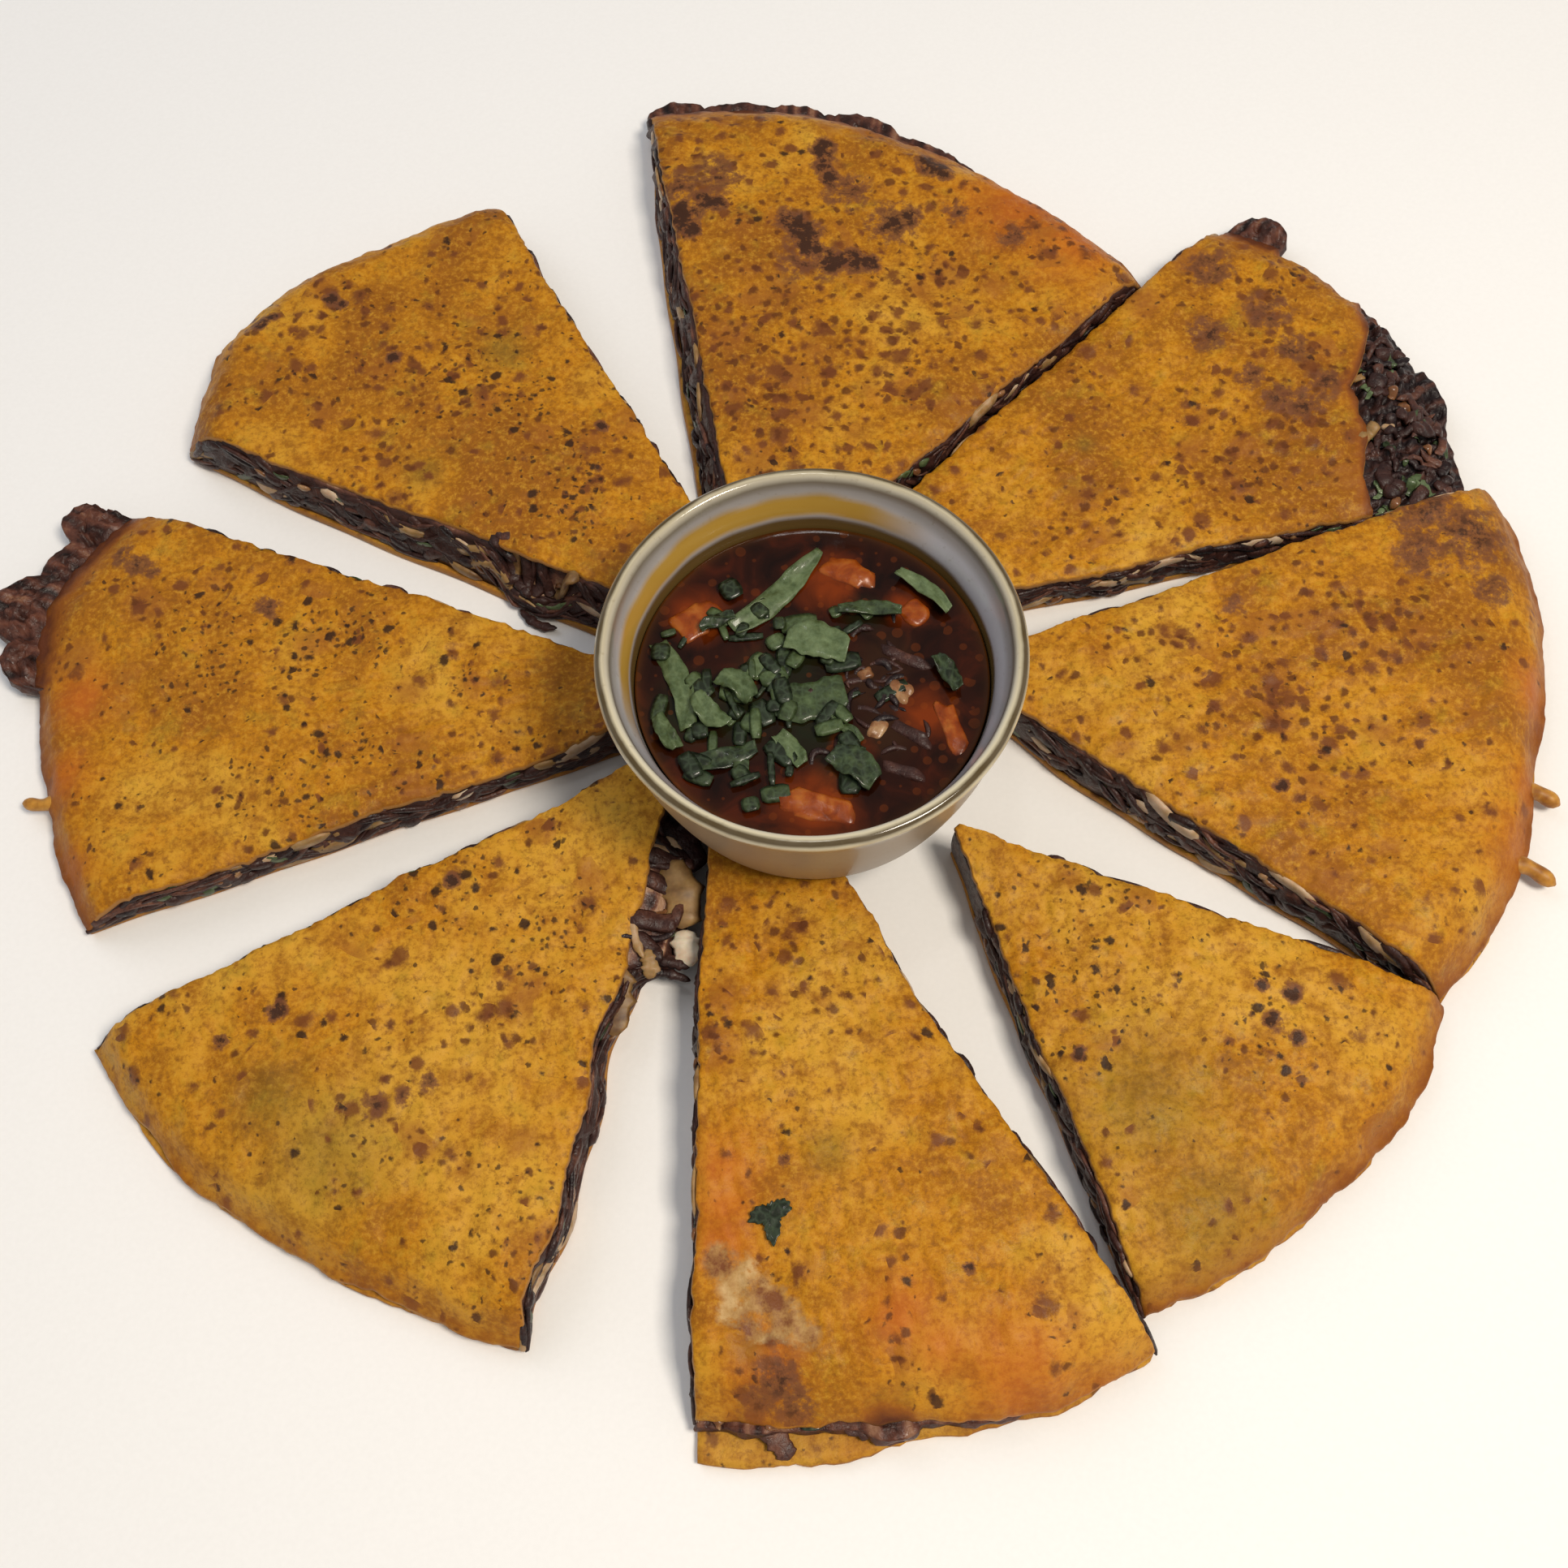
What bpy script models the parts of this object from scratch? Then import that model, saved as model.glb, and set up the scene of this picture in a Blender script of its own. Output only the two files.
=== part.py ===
"""A round birria pizza, cut into eight uneven slices that lie in a ring, with the cup of
consomme that comes with it standing on their points.

Each slice is a crisp flour tortilla below, a filling of shredded beef and melted cheese, and
a second tortilla above that bends down to meet the first one along the round edge. All pieces
are laid out round the cup's axis, in metres, +Z up. At the end one empty carries them all, so
that the origin is at the middle of the whole footprint, on the surface that it stands on.
"""

import math
from typing import NamedTuple

import bmesh
import bpy
import numpy as np

MM = 0.001

# Gaps between pieces that touch, and between the layers of a slice
TOUCH = 0.3 * MM
LAYER_GAP = 0.35 * MM

# The slices' layers
SKIN = 2.1 * MM  # one fried tortilla
EDGE_HEIGHT = 7.0 * MM  # where both tortillas meet along the round edge
SHOULDER = 15.0 * MM  # how far in from the edge the upper tortilla starts to bend down
BED_HEIGHT = 16.0 * MM  # level of the points that carry the cup
BED_RADIUS = 42.0 * MM
BED_BLEND = 26.0 * MM  # from the level bed out to the slice's own thickness
SWELL = 0.8 * MM  # slow rise and fall of the upper tortilla
BELLY = 0.9 * MM  # how far the filling bulges out of a cut
PEEK = 0.6 * MM  # how far it shows past the round edge
CROWD_RADIUS = 44.0 * MM  # inside it the cuts are straight, because the points crowd there

# The cup, turned round its axis
CUP_RIM_RADIUS = 45.0 * MM
CUP_FOOT_RADIUS = 36.0 * MM
CUP_HEIGHT = 39.5 * MM
CUP_LIP = 3.2 * MM
CUP_FLOOR = 4.2 * MM
CUP_STEPS = 32
BROTH_BELOW_RIM = 14.0 * MM
BROTH_RADIUS = 38.1 * MM  # of the inner wall at the broth's level

# What floats in the broth
FLOAT_HEIGHT = 4.0 * MM
FLOAT_PROUD = 1.0 * MM
STRIP_THICKNESS = 0.6 * MM
STRIP_WAVE = 0.3 * MM
STRIP_LIFT = 1.6 * MM  # from one layer of strips to the next


class Slice(NamedTuple):
    """One slice, with lengths in millimetres and angles in degrees, from +X anticlockwise."""

    point: tuple  # where its two cuts would meet, from the cup's axis
    first: float  # direction of its first cut
    opening: float  # angle from the first cut to the last
    blunt: float  # how much of the point is missing
    reach: tuple  # from the point to the round edge, evenly spaced across the opening
    thick: float
    spread: tuple = (0, 0)  # how far the lower layers come out of each cut
    bow: tuple = (0, 0)  # how far each cut bows outwards halfway along
    ragged: tuple = (0.4, 0.4)  # how uneven each cut is
    torn: tuple = (0, 0, 0, 0, 0)  # how much of the upper tortilla is missing at the edge
    spill: tuple = (0, 0, 0, 0, 0)  # how far the lower tortilla and filling run past the edge
    crags: tuple = ()  # crisp lumps past the edge: place across, half width, length, rise
    tongue: tuple = ()  # filling pushed out of the last cut: from, to, how far, height


SLICES = (
    Slice((-12, 37), 40.3, 56.5, 9.0, (143, 148, 154, 162, 165), 16.5, spread=(0.5, 7.0),
          ragged=(0.2, 0.4),
          crags=((0.50, 0.07, 3, 1), (0.62, 0.07, 5, 2), (0.74, 0.06, 4, 1),
                 (0.85, 0.06, 3, 2), (0.95, 0.05, 5, 1))),
    Slice((-14, 29), 8.5, 32.7, 22.0, (180, 185, 188, 186, 177), 13.5, bow=(2.0, 0.0),
          ragged=(0.4, 0.2),
          torn=(27, 22, 17, 3, 0), crags=((0.30, 0.08, 2, 2), (0.92, 0.07, 7, 4))),
    Slice((32, 16), -40.6, 57.0, 3.0, (130, 135, 136, 143, 146), 16.0, spread=(2.5, 0.5),
          crags=((0.28, 0.03, 8, 0), (0.42, 0.03, 6, 0))),
    Slice((29, -24), -75.0, 50.8, 1.5, (109, 110, 110, 113, 112), 14.0, spread=(1.5, 0.5)),
    Slice((-22, 14), -94.2, 32.2, 10.0, (158, 160, 164, 171, 171), 16.0, spread=(1.0, 0.5),
          bow=(0.8, -1.5), spill=(7, 8, 3, 0, 0),
          crags=((0.12, 0.06, 1.5, 2), (0.42, 0.06, 3, 1))),
    Slice((-30, 1), -155.8, 49.3, 4.0, (144, 142, 137, 134, 134), 14.0, spread=(0.5, 2.5),
          ragged=(0.5, 1.6), tongue=(20, 56, 9, 9.0)),
    Slice((-22, 13), 155.5, 41.0, 6.0, (158, 167, 162, 156, 151), 12.5, bow=(1.5, 0.0),
          crags=((0.03, 0.07, 13, 3), (0.14, 0.08, 8, 2), (0.26, 0.09, 13, 4),
                 (0.38, 0.06, 8, 3), (0.69, 0.03, 6, 0))),
    Slice((-2, 20), 116.0, 36.4, 14.0, (168, 173, 180, 182, 171), 18.0, spread=(0.0, 6.0),
          bow=(-1.5, 0.0), tongue=(58, 80, 3, 5.0)),
)
ACROSS = 10  # spans across a slice
# Places along a slice, as shares of its length: closer near the shoulder
ALONG = (0.0, 0.27, 0.52, 0.76, 0.92, 1.0)
ALONG_FLAT = (0.0, 0.3, 0.7, 1.0)


class Strip(NamedTuple):
    """One strip or leaf that lies on the broth, in millimetres from the cup's axis."""

    start: tuple
    end: tuple
    width: float
    taper: float  # width at the start as a share of the width
    bend: float  # how far the middle is pushed to the left of the way from start to end
    layer: int


CILANTRO = (
    Strip((4, 31.5), (-16, 13), 5.6, 0.3, 1.0, 0),
    Strip((-15.5, 15.8), (-23, 12.7), 3.0, 0.6, -0.8, 1),
    Strip((-32.4, 11.0), (-26.8, -10), 4.8, 0.8, 1.6, 0),
    Strip((-33.0, -7), (-29.0, -15), 3.6, 0.7, -0.6, 1),
    Strip((-26.4, -18.0), (-12.7, -15.2), 4.4, 0.9, -1.0, 0),
    Strip((-5, 9), (8, 5), 8.0, 0.6, 1.5, 1),
    Strip((-8.7, -5.7), (6.8, -3.4), 9.0, 0.7, -1.0, 0),
    Strip((6.7, 15.5), (20.4, 13.8), 3.2, 0.5, 0.8, 1),
    Strip((20.5, 24.0), (30.5, 13.2), 3.2, 0.7, 1.0, 1),
    Strip((2.7, -18.5), (11.2, -26), 6.5, 0.7, 1.0, 1),
    Strip((-19.6, 1.6), (-12.9, -4.6), 5.0, 0.8, 1.0, 1),
    Strip((-24.8, -2.6), (-18.6, -10.3), 4.6, 0.7, -1.0, 1),
    Strip((26.4, 2.4), (30.4, -6.0), 3.6, 0.6, 0.6, 1),
    Strip((-8.2, -12.9), (-3.4, -20.3), 3.8, 0.8, 0.6, 0),
    Strip((2.9, -10.2), (9.4, -15.8), 2.2, 0.9, 0.5, 0),
)


class Morsel(NamedTuple):
    """One piece that floats half sunk in the broth, in millimetres from the cup's axis."""

    name: str
    place: tuple
    size: tuple  # length and width
    turn: float  # degrees


MORSELS = (
    Morsel("carrot_1", (-24.0, 16.6), (9.5, 6.5), 35),
    Morsel("carrot_2", (10.2, 25.6), (11.5, 5.5), -25),
    Morsel("carrot_3", (28.2, -13.5), (11.5, 3.8), -78),
    Morsel("carrot_4", (-1.6, -29.8), (14.0, 5.6), -18),
    Morsel("carrot_5", (23.2, 14.4), (5.5, 4.5), -50),
    Morsel("onion_1", (18.6, -4.4), (5.0, 3.8), -30),
    Morsel("onion_2", (11.6, 0.4), (3.2, 2.6), 20),
    Morsel("onion_3", (12.8, -13.0), (4.2, 3.0), 60),
    Morsel("beef_1", (19.6, -14.6), (9.0, 2.5), -38),
    Morsel("beef_2", (20.4, 3.4), (10.0, 2.3), -30),
    Morsel("beef_3", (17.2, -23.0), (8.5, 2.5), -22),
)

LEAF_PLACE = (-17.0, -107.5)  # the cilantro leaf on the fifth slice
LEAF_SIZE = (11.0, 9.0)
LEAF_TURN = 50.0
LEAF_CLEAR = 0.6 * MM

# Colour, roughness
MATERIALS = {
    "fried_tortilla": ((0.62, 0.31, 0.05, 1), 0.45),
    "beef_and_cheese": ((0.10, 0.045, 0.03, 1), 0.5),
    "glazed_stoneware": ((0.62, 0.61, 0.60, 1), 0.15),
    "consomme": ((0.09, 0.014, 0.004, 1), 0.08),
    "cilantro": ((0.035, 0.09, 0.03, 1), 0.4),
    "carrot": ((0.45, 0.10, 0.01, 1), 0.3),
    "onion": ((0.62, 0.45, 0.36, 1), 0.3),
    "beef": ((0.13, 0.05, 0.03, 1), 0.45),
}


def clear_scene():
    for thing in list(bpy.data.objects):
        bpy.data.objects.remove(thing, do_unlink=True)


def material(name):
    """A material with the piece's own colour, made once."""
    found = bpy.data.materials.get(name)
    if found:
        return found
    colour, roughness = MATERIALS[name]
    made = bpy.data.materials.new(name)
    made.use_nodes = True
    shader = made.node_tree.nodes["Principled BSDF"]
    shader.inputs["Base Color"].default_value = colour
    shader.inputs["Roughness"].default_value = roughness
    shader.inputs["Metallic"].default_value = 0.0
    made.diffuse_color = colour
    return made


def add_piece(name, points, faces, finish, smooth_under=40.0):
    """A named object from points and faces, shaded smooth up to an angle in degrees."""
    mesh = bpy.data.meshes.new(name)
    mesh.from_pydata([tuple(p) for p in points], [], [tuple(f) for f in faces])
    mesh.validate()
    mesh.shade_smooth()
    mesh.set_sharp_from_angle(angle=math.radians(smooth_under))
    mesh.materials.append(material(finish))
    piece = bpy.data.objects.new(name, mesh)
    bpy.context.scene.collection.objects.link(piece)
    return piece


def ease(t):
    """0 below 0, 1 above 1, and a smooth rise between."""
    t = np.clip(t, 0.0, 1.0)
    return t * t * (3 - 2 * t)


def direction(degrees):
    angle = np.radians(degrees)
    return np.stack([np.cos(angle), np.sin(angle)], axis=-1)


def across_values(values, across):
    """Five evenly spaced values in millimetres, read between them in metres."""
    return np.interp(across, np.linspace(0, 1, len(values)), values) * MM


def crag_rise(piece, across):
    """How far the crisp lumps stand past the edge and above it, at each place across. Each
    one is half an ellipse in plan."""
    out, rise = np.zeros_like(across), np.zeros_like(across)
    for place, half, length, height in piece.crags:
        share = np.sqrt(np.clip(1 - ((across - place) / half) ** 2, 0, 1))
        out = np.maximum(out, share * length * MM)
        rise = np.maximum(rise, share * height * MM)
    return out, rise


def plan(piece, length, across, spread=0.0, tongue=0.0):
    """Places on the table of the points that are this far from the slice's point and this far
    across its opening. The cuts bow, wander and spread by weights that fade to the middle."""
    first, last = direction(piece.first), direction(piece.first + piece.opening)
    outward = np.array([[first[1], -first[0]], [-last[1], last[0]]])
    reach = across_values(piece.reach, across)
    share = length / reach
    along = direction(piece.first + across * piece.opening)
    place = np.array(piece.point) * MM + length[..., None] * along
    clear = ease((np.hypot(place[..., 0], place[..., 1]) - CROWD_RADIUS) / (15 * MM))
    for side in (0, 1):
        weight = np.abs(1 - side - across) ** 3
        bow = piece.bow[side] * MM * 4 * share * (1 - share)
        wander = piece.ragged[side] * MM * np.sin(share * 23 + side * 2) * np.sin(share * 9)
        out = spread * piece.spread[side] * MM * (1 - share ** 3)
        offset = weight * clear * (bow + wander + out)
        place = place + offset[..., None] * outward[side]
    if tongue and piece.tongue:
        start, end, far, _ = piece.tongue
        push = ease((length / MM - start) / 8) * ease((end - length / MM) / 8)
        push = push * far * MM * (across > 0.999)
        place = place + push[..., None] * outward[1]
    return place


def upper_height(piece, length, across, place):
    """Height of the upper tortilla: level under the cup, swelling slowly beyond it, and bent
    down in a quarter wave over the last stretch before the round edge."""
    x, y = place[..., 0], place[..., 1]
    phase = piece.first
    swell = np.sin(x * 61 + phase) * np.cos(y * 53 + 2 * phase) + 0.6 * np.sin((x + y) * 97)
    own = piece.thick * MM + SWELL * swell
    body = BED_HEIGHT + (own - BED_HEIGHT) * ease((np.hypot(x, y) - BED_RADIUS) / BED_BLEND)
    inward = np.clip((across_values(piece.reach, across) - length) / SHOULDER, 0, 1)
    return EDGE_HEIGHT + (body - EDGE_HEIGHT) * np.sin(inward * math.pi / 2)


def places_across(piece):
    """Evenly spaced places across the slice, with those that its crisp lumps need."""
    places = list(np.linspace(0, 1, ACROSS + 1))
    for place, half, _, _ in piece.crags:
        places += [place + half * step for step in (-1, -0.6, 0, 0.6, 1)]
    places = np.unique(np.round(np.clip(places, 0, 1), 4))
    keep = np.concatenate([[True], np.diff(places) > 0.012])
    keep[-1] = True
    return places[keep]


def rows_along(piece):
    """Shares of the slice's length at which its upper layers have a row of points."""
    if not piece.tongue:
        return ALONG
    start, end = (length / piece.reach[-1] for length in piece.tongue[:2])
    rows = {start, start + 0.06, (start + end) / 2, end - 0.06, end}
    return sorted(rows | {share for share in ALONG if not start - 0.05 < share < end + 0.05})


def slice_grid(piece, shares, far):
    """Lengths and places across for a grid that runs from the blunt point out to far."""
    across = places_across(piece)
    middle = np.radians((across - 0.5) * piece.opening)
    near = piece.blunt * MM / np.cos(middle)
    shares = np.array(shares)[:, None]
    return near + (far(across) - near) * shares, np.broadcast_to(across, (len(shares), len(across)))


def rim_loop(rows, columns):
    """Grid places round the border of a grid, as index pairs."""
    low = [(0, j) for j in range(columns - 1)]
    right = [(i, columns - 1) for i in range(rows - 1)]
    high = [(rows - 1, j) for j in range(columns - 1, 0, -1)]
    left = [(i, 0) for i in range(rows - 1, 0, -1)]
    return low + right + high + left


def slab(name, lower, upper, finish, belly=None):
    """A closed solid between two grids of points. Both faces are split into triangles alike.
    A belly gives one more ring of points round the side, halfway up."""
    rows, columns = lower.shape[:2]
    count = rows * columns
    points = np.concatenate([lower.reshape(-1, 3), upper.reshape(-1, 3)])
    cells = [(i * columns + j, i * columns + j + 1, (i + 1) * columns + j + 1, (i + 1) * columns + j)
             for i in range(rows - 1) for j in range(columns - 1)]
    faces = []
    for a, b, c, d in cells:
        faces += [(a, b, c), (a, c, d)]
        faces += [(a + count, c + count, b + count), (a + count, d + count, c + count)]
    ring = [i * columns + j for i, j in rim_loop(rows, columns)]
    rings = [ring, [i + count for i in ring]]
    if belly is not None:
        points = np.concatenate([points, belly])
        rings.insert(1, list(range(2 * count, 2 * count + len(ring))))
    for under, over in zip(rings, rings[1:]):
        for i, here in enumerate(under):
            after = (i + 1) % len(ring)
            faces += [(here, over[i], over[after]), (here, over[after], under[after])]
    return add_piece(name, points, faces, finish)


def raised(place, height):
    return np.concatenate([place, height[..., None]], axis=-1)


def lower_tortilla(piece):
    def far(across):
        return across_values(piece.reach, across) + across_values(piece.spill, across)

    length, across = slice_grid(piece, ALONG_FLAT, far)
    low = plan(piece, length, across, spread=1.0)
    high = plan(piece, length, across, spread=0.8)
    return raised(low, np.zeros_like(length)), raised(high, np.full_like(length, SKIN))


def torn_edge(piece):
    """How far out the upper tortilla reaches, as a function of the place across."""
    return lambda across: across_values(piece.reach, across) - across_values(piece.torn, across)


def filling(piece, random):
    """The filling has the upper tortilla's rows of points, and two more that run on from its
    edge to the crisp lumps and what has spilt."""
    length, across = slice_grid(piece, rows_along(piece), torn_edge(piece))
    out, rise = crag_rise(piece, across[0])
    spill = 0.7 * across_values(piece.spill, across[0])
    edge = across_values(piece.reach, across[0]) + PEEK + np.maximum(out, spill)
    length = np.concatenate([length, [(length[-1] + edge) / 2, edge]])
    across = np.concatenate([across, across[:2]])
    roof = upper_height(piece, length, across, plan(piece, length, across)) - SKIN - LAYER_GAP
    roof[-2:] += rise * np.array([[0.6], [1.0]])
    low = plan(piece, length, across, spread=0.75, tongue=0.9)
    high = plan(piece, length, across, spread=0.15, tongue=0.8)
    if piece.tongue:
        start, end, _, height = piece.tongue
        bare = (across > 0.999) & (length / MM > start) & (length / MM < end)
        roof = np.where(bare, np.minimum(roof, height * MM), roof)
    floor = np.full_like(length, SKIN + LAYER_GAP)
    lower, upper = raised(low, floor), raised(high, roof)
    return lower, upper, side_belly(piece, lower, upper, random)


def side_belly(piece, lower, upper, random):
    """A ring round the filling's side, pushed out of the cuts by uneven amounts and sunk back
    at the blunt point, where the slices crowd together."""
    rows, columns = lower.shape[:2]
    loop = rim_loop(rows, columns)
    middle = np.array([(lower[i, j] + upper[i, j]) / 2 for i, j in loop])
    centre = middle[:, :2].mean(axis=0)
    away = middle[:, :2] - centre
    away /= np.linalg.norm(away, axis=1)[:, None]
    clear = ease((np.hypot(middle[:, 0], middle[:, 1]) - CROWD_RADIUS) / (15 * MM))
    push = random.uniform(0.1, 1.0, len(loop)) * BELLY * clear
    middle[:, :2] += away * push[:, None]
    return middle


def upper_tortilla(piece):
    length, across = slice_grid(piece, rows_along(piece), torn_edge(piece))
    place = plan(piece, length, across)
    height = upper_height(piece, length, across, place)
    return raised(place, height - SKIN), raised(place, height)


def make_slices(random):
    for number, piece in enumerate(SLICES, 1):
        low, high = lower_tortilla(piece)
        slab(f"slice_{number}_lower_tortilla", low, high, "fried_tortilla")
        low, high, belly = filling(piece, random)
        slab(f"slice_{number}_filling", low, high, "beef_and_cheese", belly)
        low, high = upper_tortilla(piece)
        slab(f"slice_{number}_upper_tortilla", low, high, "fried_tortilla")


def turned(name, profile, finish):
    """A solid turned round the cup's axis. The profile runs from the axis underneath, round
    the outside, and back to the axis on top."""
    angles = np.arange(CUP_STEPS) * 2 * math.pi / CUP_STEPS
    rings = [(r * np.cos(angles), r * np.sin(angles), np.full(CUP_STEPS, z)) for r, z in profile[1:-1]]
    points = [(0, 0, profile[0][1]), (0, 0, profile[-1][1])]
    points += [p for ring in rings for p in zip(*ring)]
    faces = []
    last = 2 + (len(rings) - 1) * CUP_STEPS
    for i in range(CUP_STEPS):
        after = (i + 1) % CUP_STEPS
        faces += [(0, 2 + after, 2 + i), (1, last + i, last + after)]
        for ring in range(len(rings) - 1):
            low, high = 2 + ring * CUP_STEPS, 2 + (ring + 1) * CUP_STEPS
            faces.append((low + i, low + after, high + after, high + i))
    return add_piece(name, points, faces, finish)


CUP_BASE = BED_HEIGHT + TOUCH
CUP_TOP = CUP_BASE + CUP_HEIGHT
BROTH_LEVEL = CUP_TOP - BROTH_BELOW_RIM
CUP_INSIDE = CUP_BASE + CUP_FLOOR


def make_cup():
    """A foot ring, a wall that leans outwards, a rounded lip and a rounded inside corner."""
    outer, inner = CUP_RIM_RADIUS, CUP_RIM_RADIUS - CUP_LIP
    foot = CUP_FOOT_RADIUS
    profile = [
        (0, CUP_BASE + 1.0 * MM), (foot - 4 * MM, CUP_BASE + 1.0 * MM), (foot - 3 * MM, CUP_BASE),
        (foot - 0.8 * MM, CUP_BASE), (foot, CUP_BASE + 1.0 * MM), (foot + 2.6 * MM, CUP_BASE + 8 * MM),
        (outer - 3.6 * MM, CUP_BASE + 20 * MM), (outer - 1.0 * MM, CUP_TOP - 6 * MM),
        (outer, CUP_TOP - 2.2 * MM), (outer - 0.2 * MM, CUP_TOP - 0.8 * MM), (outer - 1.0 * MM, CUP_TOP),
        (inner + 1.0 * MM, CUP_TOP), (inner + 0.2 * MM, CUP_TOP - 0.8 * MM),
        (inner - 0.3 * MM, CUP_TOP - 3 * MM), (BROTH_RADIUS, BROTH_LEVEL),
        (BROTH_RADIUS - 3.0 * MM, CUP_INSIDE + 9 * MM), (BROTH_RADIUS - 5.4 * MM, CUP_INSIDE + 3 * MM),
        (BROTH_RADIUS - 9.0 * MM, CUP_INSIDE), (0, CUP_INSIDE),
    ]
    return turned("cup", profile, "glazed_stoneware")


def chunk(name, place, size, turn, height, base, finish, grow=0.0):
    """A box with every edge bevelled, turned about +Z, its underside at the base height."""
    mesh = bmesh.new()
    bmesh.ops.create_cube(mesh, size=1.0)
    length, width, tall = size[0] * MM + 2 * grow, size[1] * MM + 2 * grow, height + 2 * grow
    bmesh.ops.scale(mesh, vec=(length, width, tall), verts=mesh.verts)
    bevel = 0.28 * min(width, tall)
    bmesh.ops.bevel(mesh, geom=mesh.edges[:], offset=bevel, segments=1, affect="EDGES")
    bmesh.ops.triangulate(mesh, faces=mesh.faces[:])
    along = direction(turn)
    points = []
    for corner in mesh.verts:
        x, y, z = corner.co
        x, y = x * along[0] - y * along[1], x * along[1] + y * along[0]
        points.append((x + place[0] * MM, y + place[1] * MM, z + base + height / 2))
    faces = [[corner.index for corner in face.verts] for face in mesh.faces]
    mesh.free()
    return add_piece(name, points, faces, finish)


def make_broth():
    """The broth up to its level, with a pocket round each piece that floats in it."""
    wall = BROTH_RADIUS - TOUCH
    floor = CUP_INSIDE + TOUCH
    profile = [
        (0, floor), (wall - 9.0 * MM, floor), (wall - 5.4 * MM, floor + 2.9 * MM),
        (wall - 3.0 * MM, floor + 8.8 * MM), (wall - 0.1 * MM, BROTH_LEVEL), (0, BROTH_LEVEL),
    ]
    broth = turned("broth", profile, "consomme")
    pockets = bpy.data.collections.new("pockets")
    bpy.context.scene.collection.children.link(pockets)
    base = BROTH_LEVEL + FLOAT_PROUD - FLOAT_HEIGHT
    for morsel in MORSELS:
        finish = morsel.name.split("_")[0]
        chunk(morsel.name, morsel.place, morsel.size, morsel.turn, FLOAT_HEIGHT, base, finish)
        pocket = chunk(f"pocket_{morsel.name}", morsel.place, morsel.size, morsel.turn,
                       FLOAT_HEIGHT, base, finish, grow=TOUCH)
        pocket.hide_render = True
        pocket.display_type = "WIRE"
        bpy.context.scene.collection.objects.unlink(pocket)
        pockets.objects.link(pocket)
    cut = broth.modifiers.new("pockets", "BOOLEAN")
    cut.operation = "DIFFERENCE"
    cut.operand_type = "COLLECTION"
    cut.collection = pockets
    return broth


def wavy_strip(name, start, end, width, taper, bend, base, phase, finish="cilantro"):
    """A thin wavy solid along a bent line, as a grid of points across and along it."""
    start, end = np.array(start) * MM, np.array(end) * MM
    along = np.linspace(0, 1, 7)[:, None]
    across = np.linspace(-0.5, 0.5, 3)[None, :]
    way = end - start
    left = np.array([-way[1], way[0]]) / np.linalg.norm(way)
    middle = start + along[..., None] * way + (4 * along * (1 - along) * bend * MM)[..., None] * left
    breadth = width * MM * np.minimum(1, taper + (1 - taper) * 3 * along) * (1 - 0.35 * along ** 6)
    uneven = 1 + 0.16 * np.sin(along * 14 + phase)
    place = middle + (across * breadth * uneven)[..., None] * left
    wave = STRIP_WAVE * np.sin(along * 9 + across * 5 + phase)
    low = base + STRIP_WAVE + wave
    return slab(name, raised(place, low), raised(place, low + STRIP_THICKNESS), finish)


def make_garnish():
    for number, strip in enumerate(CILANTRO, 1):
        base = BROTH_LEVEL + TOUCH + strip.layer * STRIP_LIFT
        wavy_strip(f"cilantro_{number}", strip.start, strip.end, strip.width, strip.taper,
                   strip.bend, base, phase=number * 1.7)


def make_leaf():
    """One cilantro leaf stuck to the fifth slice, bent to the tortilla below it."""
    piece = SLICES[4]
    side, reach = direction(LEAF_TURN), np.array(LEAF_SIZE) * MM
    u, v = np.meshgrid(np.linspace(-1, 1, 6), np.linspace(-1, 1, 5), indexing="ij")
    lobes = 0.72 + 0.28 * np.cos(3 * np.arctan2(v, u) + 0.6)
    x, y = u * lobes * reach[0] / 2, v * lobes * reach[1] / 2
    place = np.stack([x * side[0] - y * side[1], x * side[1] + y * side[0]], axis=-1)
    place = place + np.array(LEAF_PLACE) * MM
    rel = place - np.array(piece.point) * MM
    length = np.hypot(rel[..., 0], rel[..., 1])
    across = (np.degrees(np.arctan2(rel[..., 1], rel[..., 0])) - piece.first) / piece.opening
    low = upper_height(piece, length, across, place) + LEAF_CLEAR + 0.2 * MM * (1 + np.sin(u * 4))
    slab("cilantro_leaf", raised(place, low), raised(place, low + STRIP_THICKNESS), "cilantro")


def centre_model():
    """Hangs every piece on one empty, so that the origin is under the middle of them all."""
    pieces = [thing for thing in bpy.data.objects if thing.type == "MESH"]
    shown = [thing for thing in pieces if not thing.hide_render]
    corners = np.array([tuple(p.co) for thing in shown for p in thing.data.vertices])
    middle = (corners.min(axis=0) + corners.max(axis=0)) / 2
    carrier = bpy.data.objects.new("birria_pizza", None)
    bpy.context.scene.collection.objects.link(carrier)
    carrier.location = (-middle[0], -middle[1], 0)
    for piece in pieces:
        piece.parent = carrier


def main():
    clear_scene()
    make_slices(np.random.default_rng(8))
    make_cup()
    make_broth()
    make_garnish()
    make_leaf()
    centre_model()


main()
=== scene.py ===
"""Birria pizza: eight uneven slices of fried tortilla with beef and cheese, lying in a ring, and
the glazed cup of consomme that stands on their points.

Every new piece is a surface worked out with numpy as whole arrays: a grid over one slice, a
section carried along a path, or a profile turned round the cup's axis. The slices' outlines and
heights follow the same formulas and named sizes as the model whose parts they replace.
"""
import math
from functools import partial
from typing import NamedTuple

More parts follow.
